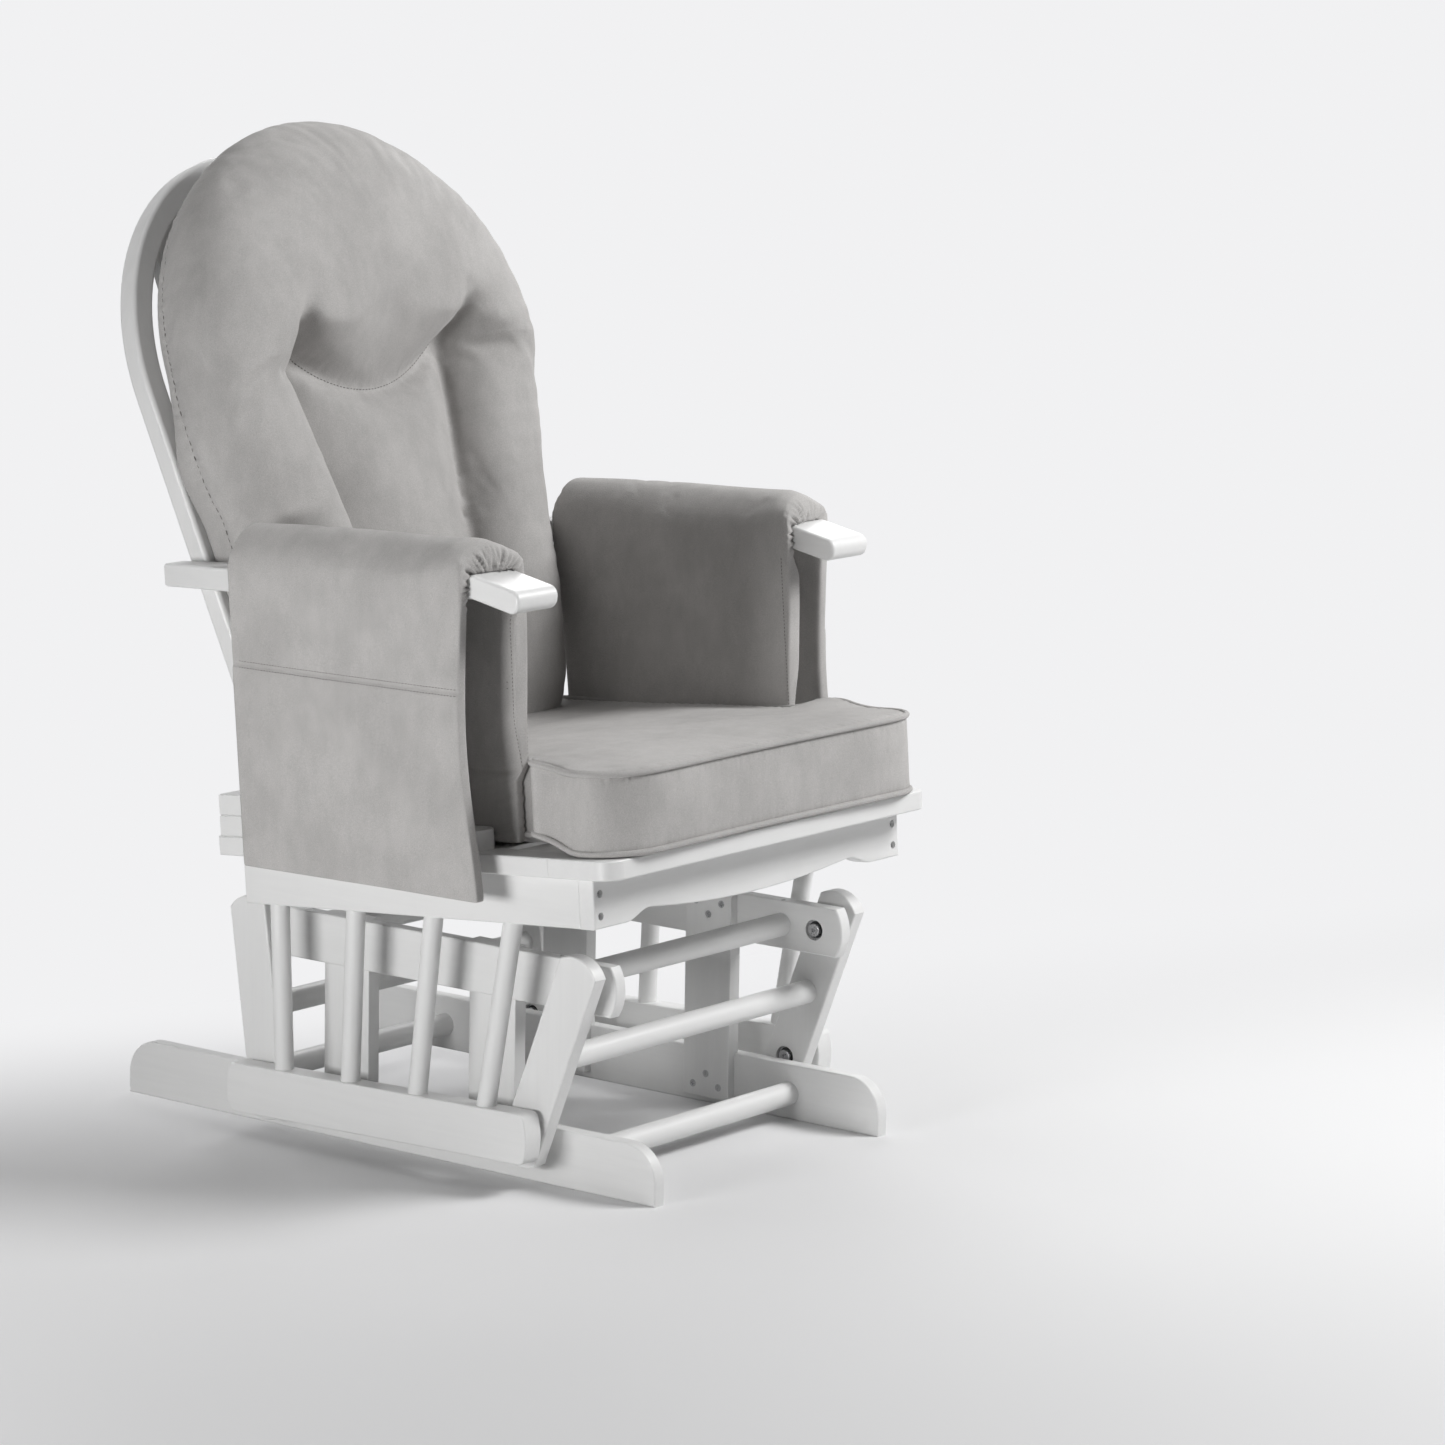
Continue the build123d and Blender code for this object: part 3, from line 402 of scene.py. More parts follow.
def calc(tree, operation, a, b):
    """A math node on sockets or numbers."""
    node = add_node(tree, "ShaderNodeMath", operation=operation)
    for socket, value in zip(node.inputs, (a, b)):
        if isinstance(value, (int, float)):
            socket.default_value = value
        else:
            tree.links.new(value, socket)
    return node.outputs["Value"]


def summed(tree, a, part_a, b, part_b):
    """The sum of two sockets, each taken in part."""
    return calc(tree, "ADD", calc(tree, "MULTIPLY", a, part_a), calc(tree, "MULTIPLY", b, part_b))


def mixed(tree, factor, a, b):
    """A colour mix of two sockets or colours."""
    node = add_node(tree, "ShaderNodeMix", data_type="RGBA")
    tree.links.new(factor, node.inputs["Factor"])
    for socket, value in zip((node.inputs[6], node.inputs[7]), (a, b)):
        if isinstance(value, bpy.types.NodeSocket):
            tree.links.new(value, socket)
        else:
            socket.default_value = value
    return node.outputs[2]


def group_in(tree, group, vector, **values):
    """Places a group in a material with its own values."""
    node = add_node(tree, "ShaderNodeGroup", node_tree=group)
    tree.links.new(vector, node.inputs["Vector"])
    for label, value in values.items():
        node.inputs[label.replace("_", " ").capitalize()].default_value = value
    return node


def new_material(name):
    """A node material; gives its tree, its shader and its object coordinates."""
    material = bpy.data.materials.new(name)
    material.use_nodes = True
    tree = material.node_tree
    shader = tree.nodes["Principled BSDF"]
    coords = add_node(tree, "ShaderNodeTexCoord")
    return material, tree, shader, coords.outputs["Object"]


def bump(tree, shader, height, distance, strength=1.0):
    """Fine relief from a height socket."""
    node = add_node(tree, "ShaderNodeBump")
    node.inputs["Strength"].default_value = strength
    node.inputs["Distance"].default_value = distance
    tree.links.new(height, node.inputs["Height"])
    tree.links.new(node.outputs["Normal"], shader.inputs["Normal"])


def use_finish(tree, shader, group, depth, strength):
    """Takes a shader's colour, dullness and fine relief from a group."""
    tree.links.new(group.outputs["Colour"], shader.inputs["Base Color"])
    tree.links.new(group.outputs["Roughness"], shader.inputs["Roughness"])
    bump(tree, shader, group.outputs["Height"], depth, strength)


def rgba(colour):
    """A colour with full alpha."""
    return (*colour, 1.0)


def suede_group():
    """Brushed suede: clouds of nap, brush strokes and short fibres."""
    name = "Brushed suede"
    if name in bpy.data.node_groups:
        return bpy.data.node_groups[name]
    tree, given, out = node_group(
        name,
        [
            ("Vector", "NodeSocketVector", None),
            ("Flat nap", "NodeSocketColor", (0.33, 0.32, 0.31, 1)),
            ("Raised nap", "NodeSocketColor", (0.28, 0.27, 0.26, 1)),
            ("Clouds", "NodeSocketFloat", 1.0),
        ],
    )
    vector = given.outputs["Vector"]
    clouds = remapped(tree, noise(tree, vector, 13, 3, 0.55), 0.34, 0.68, 0, 1)
    strokes = remapped(tree, noise(tree, stretched(tree, vector, (1, 1, 0.45)), 60, 3, 0.6), 0.3, 0.7, 0, 1)
    grains = noise(tree, vector, 700, 2, 0.6)
    fibres = noise(tree, vector, 1100, 3, 0.7)
    nap = summed(tree, clouds, 0.5, strokes, 0.3)
    nap = calc(tree, "ADD", nap, calc(tree, "MULTIPLY", grains, 0.3))
    nap = calc(tree, "MULTIPLY", calc(tree, "SUBTRACT", nap, 0.08), given.outputs["Clouds"])
    colour = mixed(tree, nap, given.outputs["Flat nap"], given.outputs["Raised nap"])
    speck = remapped(tree, fibres, 0.3, 0.72, 0.87, 1.12)
    tint = add_node(tree, "ShaderNodeVectorMath", operation="SCALE")
    tree.links.new(colour, tint.inputs[0])
    tree.links.new(speck, tint.inputs["Scale"])
    tree.links.new(tint.outputs["Vector"], out.inputs["Colour"])
    tree.links.new(remapped(tree, nap, 0, 1, 0.84, 0.96), out.inputs["Roughness"])
    tree.links.new(summed(tree, grains, 0.6, fibres, 0.4), out.inputs["Height"])
    return tree


def suede_material(name, finish, clouds=1.0, shade=1.0):
    """A suede material; shade below 1 darkens its colours, which the piping uses as painted shade."""
    if name in bpy.data.materials:
        return bpy.data.materials[name]
    material, tree, shader, coords = new_material(name)
    node = group_in(
        tree,
        suede_group(),
        coords,
        flat_nap=rgba(c * shade for c in finish.suede),
        raised_nap=rgba(c * shade for c in finish.suede_raised),
        clouds=clouds,
    )
    shader.inputs["Sheen Weight"].default_value = 0.16
    shader.inputs["Sheen Roughness"].default_value = 0.45
    shader.inputs["Specular IOR Level"].default_value = 0.12
    use_finish(tree, shader, node, 0.0006, 0.5)
    return material


def thread_material(finish):
    """Twisted sewing thread."""
    name = "Sewing thread"
    if name in bpy.data.materials:
        return bpy.data.materials[name]
    material, tree, shader, coords = new_material(name)
    twist = noise(tree, coords, 2600, 1)
    dark = rgba(c * 0.75 for c in finish.thread)
    tree.links.new(mixed(tree, twist, rgba(finish.thread), dark), shader.inputs["Base Color"])
    tree.links.new(remapped(tree, twist, 0.3, 0.7, 0.6, 0.8), shader.inputs["Roughness"])
    bump(tree, shader, twist, 0.0002, 0.5)
    return material


def paint_group():
    """Satin paint over fine wood grain: a little colour drift, dull patches and brushed relief."""
    name = "Painted wood"
    if name in bpy.data.node_groups:
        return bpy.data.node_groups[name]
    tree, given, out = node_group(
        name,
        [
            ("Vector", "NodeSocketVector", None),
            ("Paint", "NodeSocketColor", (0.8, 0.8, 0.8, 1)),
            ("Shade", "NodeSocketColor", (0.76, 0.76, 0.755, 1)),
            ("Roughness", "NodeSocketFloat", 0.36),
        ],
    )
    vector = given.outputs["Vector"]
    grain = noise(tree, vector, 190, 3, 0.6)
    streaks = noise(tree, vector, 46, 2, 0.5)
    drift = remapped(tree, summed(tree, grain, 0.4, streaks, 0.6), 0.35, 0.65, 0, 1)
    tree.links.new(mixed(tree, drift, given.outputs["Paint"], given.outputs["Shade"]), out.inputs["Colour"])
    dull = remapped(tree, streaks, 0.3, 0.7, -0.05, 0.07)
    tree.links.new(calc(tree, "ADD", given.outputs["Roughness"], dull), out.inputs["Roughness"])
    tree.links.new(summed(tree, grain, 0.5, streaks, 0.5), out.inputs["Height"])
    return tree


def paint_material(name, finish, grain):
    """Painted wood whose grain runs along one axis."""
    material, tree, shader, coords = new_material(name)
    run = stretched(tree, coords, tuple(0.07 if axis == grain else 1.0 for axis in "XYZ"))
    node = group_in(
        tree,
        paint_group(),
        run,
        paint=rgba(finish.paint),
        shade=rgba(c * 0.965 for c in finish.paint),
        roughness=finish.paint_roughness,
    )
    shader.inputs["Coat Weight"].default_value = 0.12
    shader.inputs["Coat Roughness"].default_value = 0.25
    use_finish(tree, shader, node, 0.0005, 0.35)
    return material


def turned_steel_group():
    """Plated steel: fine scratches and cloudy plating."""
    name = "Plated steel"
    if name in bpy.data.node_groups:
        return bpy.data.node_groups[name]
    tree, given, out = node_group(
        name,
        [
            ("Vector", "NodeSocketVector", None),
            ("Bright", "NodeSocketColor", (0.6, 0.6, 0.6, 1)),
            ("Dull", "NodeSocketColor", (0.45, 0.45, 0.46, 1)),
        ],
    )
    vector = given.outputs["Vector"]
    clouds = remapped(tree, noise(tree, vector, 260, 3), 0.3, 0.7, 0, 1)
    scratches = noise(tree, stretched(tree, vector, (0.1, 1, 1)), 3200, 2)
    colour = mixed(tree, clouds, given.outputs["Bright"], given.outputs["Dull"])
    tree.links.new(colour, out.inputs["Colour"])
    tree.links.new(remapped(tree, clouds, 0, 1, 0.24, 0.42), out.inputs["Roughness"])
    tree.links.new(scratches, out.inputs["Height"])
    return tree


def steel_material(finish):
    """Zinc plated steel."""
    material, tree, shader, coords = new_material("Zinc plated steel")
    node = group_in(
        tree, turned_steel_group(), coords, bright=rgba(finish.zinc), dull=rgba(c * 0.74 for c in finish.zinc)
    )
    shader.inputs["Metallic"].default_value = 1.0
    use_finish(tree, shader, node, 0.0002, 0.3)
    return material


# Radius of the bearings, and of the inner and outer edge of their seals
BEARING, SEAL_INNER, SEAL_OUTER = 0.011, 0.0054, 0.0092


def bearing_material(finish):
    """Ground steel rings with a dark seal between them, centred on the nearest pivot."""
    material, tree, shader, coords = new_material("Sealed bearing")
    split = add_node(tree, "ShaderNodeSeparateXYZ")
    tree.links.new(coords, split.inputs[0])
    reach = None
    for y, z in pivot_places():
        down = calc(tree, "POWER", calc(tree, "SUBTRACT", split.outputs["Y"], y), 2.0)
        up = calc(tree, "POWER", calc(tree, "SUBTRACT", split.outputs["Z"], z), 2.0)
        this = calc(tree, "SQRT", calc(tree, "ADD", down, up), 0.0)
        reach = this if reach is None else calc(tree, "MINIMUM", reach, this)
    inside = calc(tree, "LESS_THAN", reach, SEAL_OUTER)
    outside = calc(tree, "GREATER_THAN", reach, SEAL_INNER)
    seal = calc(tree, "MULTIPLY", inside, outside)
    node = group_in(
        tree, turned_steel_group(), coords, bright=rgba(finish.zinc), dull=rgba(c * 0.8 for c in finish.zinc)
    )
    dark = (0.025, 0.025, 0.027, 1)
    tree.links.new(mixed(tree, seal, node.outputs["Colour"], dark), shader.inputs["Base Color"])
    tree.links.new(calc(tree, "SUBTRACT", 1.0, seal), shader.inputs["Metallic"])
    rough = calc(tree, "ADD", node.outputs["Roughness"], calc(tree, "MULTIPLY", seal, 0.25))
    tree.links.new(rough, shader.inputs["Roughness"])
    bump(tree, shader, node.outputs["Height"], 0.0002, 0.25)
    return material


def pivot_places():
    """The four pivot axes as (y, z), read from the bearings."""
    low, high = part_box("upper_pivot_bearings")
    level = (low[2] + high[2]) / 2
    places = [(low[1] + BEARING, level), (high[1] - BEARING, level)]
    for node in ("front_lower_pivot_bearings", "rear_lower_pivot_bearings"):
        low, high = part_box(node)
        places.append(((low[1] + high[1]) / 2, (low[2] + high[2]) / 2))
    return places


def dress(nodes, material):
    """Gives CAD nodes a material."""
    for name in nodes:
        slots = frame["nodes"][name].material_slots
        if not slots:
            raise RuntimeError(f"{name} has no material slot")
        for slot in slots:
            slot.material = material


class CHAIR_OT_paint_frame(bpy.types.Operator):
    """Paints every wooden piece white, with the grain along its length"""

    bl_idname = "chair.paint_frame"
    bl_label = "Paint the frame"

    def execute(self, context):
        finish = context.scene.chair_finish
        runs = {"X": [], "Y": [], "Z": []}
        for row in frame["record"]["subparts"]:
            if row["material_slot"] != "painted_wood":
                continue
            name = row["node"]
            runs[self.grain(name)].append(name)
        for axis, names in runs.items():
            dress(names, paint_material(f"White paint, grain along {axis}", finish, axis))
        return {"FINISHED"}

    @staticmethod
    def grain(name):
        """The axis that a wooden piece's grain follows."""
        if any(word in name for word in ("dowel", "front_rail", "rear_rail", "back_rail", "seat_slats")):
            return "X"
        if name in ("deck_front_board", "deck_rear_board"):
            return "X"
        if any(word in name for word in ("link_", "post_", "spindles", "hoop", "back_slats")):
            return "Z"
        return "Y"


class CHAIR_OT_plate_fittings(bpy.types.Operator):
    """Finishes bolts, screws, spacers, inserts and bearings"""

    bl_idname = "chair.plate_fittings"
    bl_label = "Plate the fittings"

    def execute(self, context):
        finish = context.scene.chair_finish
        for slot, material in (
            ("steel", steel_material(finish)),
            ("bearing_steel", bearing_material(finish)),
        ):
            names = [r["node"] for r in frame["record"]["subparts"] if r["material_slot"] == slot]
            dress(names, material)
        return {"FINISHED"}


# Seat cushion, in mm in the seat's frame: x across, v rearward, w up
SEAT_LOW, SEAT_HIGH = 20.5, 104.0
SEAT_MIDDLE, SEAT_HALF_HIGH = (SEAT_LOW + SEAT_HIGH) / 2, (SEAT_HIGH - SEAT_LOW) / 2
BAND_HIGH = 83.0
SEAT_FRONT, SEAT_REAR = -42.0, 428.0
SEAT_HALF, NOSE_HALF = 213.0, 256.0
NOSE_END, NECK_END, EAR_END = 72.0, 94.0, 87.0
SOLID_EAR_END = 82.0
DRAWN_IN, DRAWN_PLACE, DRAWN_REACH = 7.0, 44.0, 18.0
LOW_LIFT = 0.8
PIPING_STEP, PIPING_SUNK, RAY_START = 6.0, 2.2, 25.0


def neck_in(x, v):
    """Draws the nose's rear corners in to the part between the arm pads."""
    side, wide = np.sign(x), np.abs(x)
    limit = NOSE_HALF - (NOSE_HALF - SEAT_HALF) * ease((v - NOSE_END) / (NECK_END - NOSE_END))
    over = np.clip((wide - SEAT_HALF) / (NOSE_HALF - SEAT_HALF), 0, 1)
    return side * np.where(wide > SEAT_HALF, SEAT_HALF + over * (limit - SEAT_HALF), wide)


def seat_outline():
    """The seat cushion's sewn edge as closed (across, rearward) points, from corners with rounded bends."""
    corners = [
        (SEAT_HALF, SEAT_REAR, 14), (SEAT_HALF, NECK_END, 6),
        (NOSE_HALF, EAR_END, 18), (NOSE_HALF, SEAT_FRONT, 52),
    ]
    corners = corners + [(-x, v, r) for x, v, r in reversed(corners)]
    shape = bmesh.new()
    verts = [shape.verts.new((x, v, 0)) for x, v, _ in corners]
    for a, b in zip(verts, verts[1:] + verts[:1]):
        shape.edges.new((a, b))
    for vert, (_, _, radius) in zip(verts, corners):
        bmesh.ops.bevel(
            shape, geom=[vert], offset=radius, affect="VERTICES", segments=10, profile=0.5, material=-1
        )
    shape.verts.ensure_lookup_table()
    start = max(shape.verts, key=lambda v: (v.co.y, v.co.x))
    path, edge = [start], start.link_edges[0]
    while True:
        after = edge.other_vert(path[-1])
        if after is start:
            break
        path.append(after)
        edge = next(e for e in after.link_edges if e is not edge)
    points = [(v.co.x, v.co.y) for v in path]
    shape.free()
    return points + points[:1]


def seat_pull(x, v):
    """How far the seat cushion's front edge pulls in between its corners, in mm."""
    return 4.0 * ease((-v + 20) / 60) * np.cos(np.clip(x / 225, -1, 1) * pi / 2) ** 2


def seat_lift(x, v):
    """How far the ears beside the arm pads are lifted off the deck, in mm."""
    return 9.0 * ease((np.abs(x) - 185) / 55) * ease((v - 18) / 55)


class CHAIR_OT_seat_cushion(bpy.types.Operator):
    """Makes the boxed seat cushion with its two rows of piping"""

    bl_idname = "chair.seat_cushion"
    bl_label = "Make the seat cushion"

    def execute(self, context):
        finish, sizes = context.scene.chair_finish, context.scene.chair_cushions
        cover = soft_copy("seat_cushion", "seat_cushion_cover", SEAT, 0.005)
        crown = sizes.seat_crown * MM
        x, v, w = points_of(cover.data).T
        v = v + (EAR_END - SOLID_EAR_END) * ease((np.abs(x) - 205) / 12) * ease((v - 40) / 42)
        x = neck_in(x, v)
        drawn = DRAWN_IN * np.exp(-(((v - DRAWN_PLACE) / DRAWN_REACH) ** 2)) * ease((np.abs(x) - 170) / 70)
        x = x - np.sign(x) * drawn
        v = v + seat_pull(x, v)
        limit = np.where(v < NECK_END, NOSE_HALF, SEAT_HALF)
        rise = dome((limit - np.abs(x)) / 120) * dome((v - SEAT_FRONT) / 130) * (1 - ease((v - 190) / 110))
        w = w + crown * rise * np.clip((w - SEAT_MIDDLE) / SEAT_HALF_HIGH, 0, 1)
        depth = np.clip((SEAT_HIGH - w) / (2 * SEAT_HALF_HIGH), 0, 1)
        lift = seat_lift(x, v) * (1 + LOW_LIFT * depth)
        put_points(cover.data, np.stack([x, v, w + lift], axis=1))
        relax(cover, 1)
        held = (w < SEAT_LOW + 5) | ((v > 70) & (np.abs(x) > 190)) | (v > 300)
        gap, _ = along(np.stack([x, v - seat_pull(x, v)], axis=1), seat_outline())
        held |= (gap < 9) & (np.abs(w - SEAT_MIDDLE) > SEAT_HALF_HIGH - 6)
        inflate(cover, held, 5.0)
        subdivide(cover)
        self.sew(cover)
        cord = sizes.piping * MM
        suede = suede_material("Grey suede", finish)
        tree = surface_of(cover)
        place_piece(cover, SEAT, suede)
        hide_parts("seat_cushion")
        # The piping's suede is 5 % darker and less mottled than the cover's: the darkening is painted shade
        # for the crease that the piping sits in.
        rim = suede_material("Grey suede, piping", finish, 0.7, 0.95)
        for name, level, beside, lift in (
            ("top", SEAT_HIGH - 1.5, -7, 1.0),
            ("bottom", SEAT_LOW + cord / 2 + 0.6, 5, 1 + LOW_LIFT),
        ):
            self.pipe(f"seat_cushion_piping_{name}", tree, level, beside, lift, cord, rim)
        return {"FINISHED"}

    @staticmethod
    def sew(cover):
        """Gathers the band and the top beside the pipings."""
        points = points_of(cover.data)
        normals = normals_of(cover.data)
        x, v, w = points.T
        gap, arc = along(np.stack([x, v - seat_pull(x, v)], axis=1), seat_outline())
        high = (w - seat_lift(x, v) - SEAT_LOW) / (SEAT_HIGH - SEAT_LOW)
        front = 1 - ease((v - 40) / 40)
        sideways = np.abs(normals[:, 2]) < 0.75
        near_top = np.exp(-((1 - high) * BAND_HIGH / 11) ** 2)
        near_low = np.exp(-(high * BAND_HIGH / 10) ** 2)
        move = 0.75 * gathers(arc, 9.0) * near_top + 0.9 * gathers(arc, 8.2, 2.0) * near_low
        points[:, :2] += normals[:, :2] * (move * sideways * front)[:, None]
        on_top = (normals[:, 2] > 0.6) & (gap < 40)
        points[:, 2] += 0.55 * gathers(arc, 11.0, 1.0) * np.exp(-((gap - 6) / 9) ** 2) * on_top
        put_points(cover.data, points)

    @staticmethod
    def pipe(name, tree, level, beside, lift, cord, material):
        """A row of piping along the sewn edge, on the cover's face beside it."""
        outline = even_steps(seat_outline(), PIPING_STEP)
        run = np.roll(outline, -1, axis=0) - np.roll(outline, 1, axis=0)
        out = np.stack([run[:, 1], -run[:, 0]], axis=1) / np.linalg.norm(run, axis=1, keepdims=True)
        if np.sum(out * outline) < 0:
            out = -out
        outline[:, 1] += seat_pull(*outline.T)
        height = level + lift * seat_lift(*outline.T)
        line_points = []
        for (x, v), (ox, ov), w in zip(outline, out, height):
            start = (x + RAY_START * ox, v + RAY_START * ov, w + beside)
            met = on_surface(tree, [start], (-ox, -ov, 0))
            if met:
                at = met[0][0] * MM + Vector((ox, ov, 0)) * (cord / 2 - PIPING_SUNK)
                line_points.append((at.x, at.y, w))
        path = np.asarray(line_points)
        for _ in range(3):
            path = (np.roll(path, 1, axis=0) + 2 * path + np.roll(path, -1, axis=0)) / 4
        curve = bpy.data.curves.new(name, "CURVE")
        curve.dimensions = "3D"
        curve.bevel_depth = cord / 2 / MM
        curve.bevel_resolution = 3
        line = curve.splines.new("POLY")
        line.points.add(len(path) - 1)
        for point, place in zip(line.points, path):
            point.co = (*(place / MM), 1)
        line.use_cyclic_u = True
        rope = new_object(name, curve)
        graph = bpy.context.evaluated_depsgraph_get()
        mesh = bpy.data.meshes.new_from_object(rope.evaluated_get(graph))
        bpy.data.objects.remove(rope)
        place_piece(new_object(name, mesh), SEAT, material)


# Back cushion, in mm in the back's frame: x across, d rearward, s up
BACK_FRONT, BACK_REST = 142.5, 30.0
BACK_FOOT, SHOULDER = (194.5, -40.0), (211.0, 282.0)
HEAD_RADIUS, HEAD_CENTRE = 246.0, 434.0
EDGE_SEAM = 40.0
REAR_EDGE, REAR_ROUND = 18.0, 64.0
SMILE_HALF, SMILE_LOW, SMILE_HIGH = 131, 391, 449


def smile_level(x):
    """Height of the smile, the seam under the head."""
    return SMILE_LOW + (SMILE_HIGH - SMILE_LOW) * (x / SMILE_HALF) ** 2


# Seams as (across, up): the smile, one side seam and two folds that start where these meet
SMILE_END = (SMILE_HALF, SMILE_HIGH)
SMILE = [(x, smile_level(x)) for x in range(-SMILE_HALF, SMILE_HALF + 1, 6)] + [SMILE_END]
SIDE_SEAM = [SMILE_END, (119, 380), (104, 305), (91, 235), (83, 140), (78, 40), (76, -40)]
FOLD_UP = [SMILE_END, (125, 469), (115, 490), (102, 509)]
FOLD_OUT = [SMILE_END, (146, 453), (163, 458), (179, 462)]

# Depth of the lobes and of the middle panel at heights up the back
LOBE_DEPTH = ((-40, 40, 150, 306, 420, 540, 680), (72, 85, 120, 146, 153, 151, 144))
PANEL_DEPTH = ((-40, 120, 260, 400), (82, 93, 101, 100))
# How far from a seam each part has risen to its full depth
HEAD_RISE, LOBE_RISE, LOW_LOBE_RISE = 120, 112, 92
PANEL_RISE, PANEL_TOP_RISE, FOLD_RISE = 80, 40, 20


def mirrored(path):
    """A path on the other side."""
    return [(-x, s) for x, s in path]


def swell(share):
    """Rises from 0 like a parabola and stays at 1."""
    return 1 - (1 - np.clip(share, 0, 1)) ** 2


def back_depth(x, s, seam):
    """How far the back cushion's front stands out from the slats, in mm."""
    flat = np.stack([x, s], axis=1)
    level = np.interp(s, *LOBE_DEPTH)
    panel = np.interp(s, *PANEL_DEPTH)
    sunk = np.interp(s, (-40, 150, 300, 449), (seam - 2, seam, seam - 3, seam + 1))
    smile_gap, smile_arc = along(flat, SMILE)
    end = np.abs(smile_arc / path_length(SMILE) - 0.5) * 2
    smile_deep = seam + 10 - 8 * ease(end)
    outer = smile_deep + (level - smile_deep) * swell(smile_gap / (HEAD_RISE - 98 * ease(end)))
    inner = smile_deep + (panel - smile_deep) * swell(smile_gap / PANEL_TOP_RISE)
    for path in (SIDE_SEAM, mirrored(SIDE_SEAM)):
        gap, _ = along(flat, path)
        gentle = ease((s - 150) / 230)
        rise = LOBE_RISE - 88 * ease((s - 400) / 55)
        lobe = gentle * swell(gap / rise) + (1 - gentle) * dome(gap / LOW_LOBE_RISE)
        outer = np.minimum(outer, sunk + (level - sunk) * lobe)
        inner = np.minimum(inner, sunk + (panel - sunk) * dome(gap / PANEL_RISE))
    for path, least in ((FOLD_OUT, 0.4), (mirrored(FOLD_UP), 0.75)):
        gap, arc = along(flat, path)
        fade = least + (1 - least) * ease(arc / path_length(path)) ** 0.7
        deep = seam + 2 + (level - seam - 2) * fade
        outer = np.minimum(outer, deep + (level - deep) * swell(gap / FOLD_RISE))
    side_s, side_x = np.array(SIDE_SEAM[::-1], float)[:, ::-1].T
    inside = (np.abs(x) < np.interp(s, side_s, side_x)) & (s < smile_level(x))
    return np.where(inside, inner, outer)


def seams_gap(flat):
    """Distance to the nearest sewn seam of the back cushion's front, and the place along it."""
    gaps, arcs = zip(*(along(flat, p) for p in (SMILE, SIDE_SEAM, mirrored(SIDE_SEAM))))
    pick = np.argmin(gaps, axis=0)
    rows = np.arange(len(flat))
    return np.array(gaps)[pick, rows], np.array(arcs)[pick, rows]


def back_outline(inset=0.0):
    """The back cushion's edge as (across, up) points, from one foot round the head to the other."""
    radius = HEAD_RADIUS - inset
    turns = np.linspace(-0.08, pi + 0.08, 61)
    arch = [(radius * cos(turn), HEAD_CENTRE + radius * sin(turn)) for turn in turns]
    right = [(x - inset, s) for x, s in (BACK_FOOT, SHOULDER)]
    return right + arch + mirrored(right[::-1])


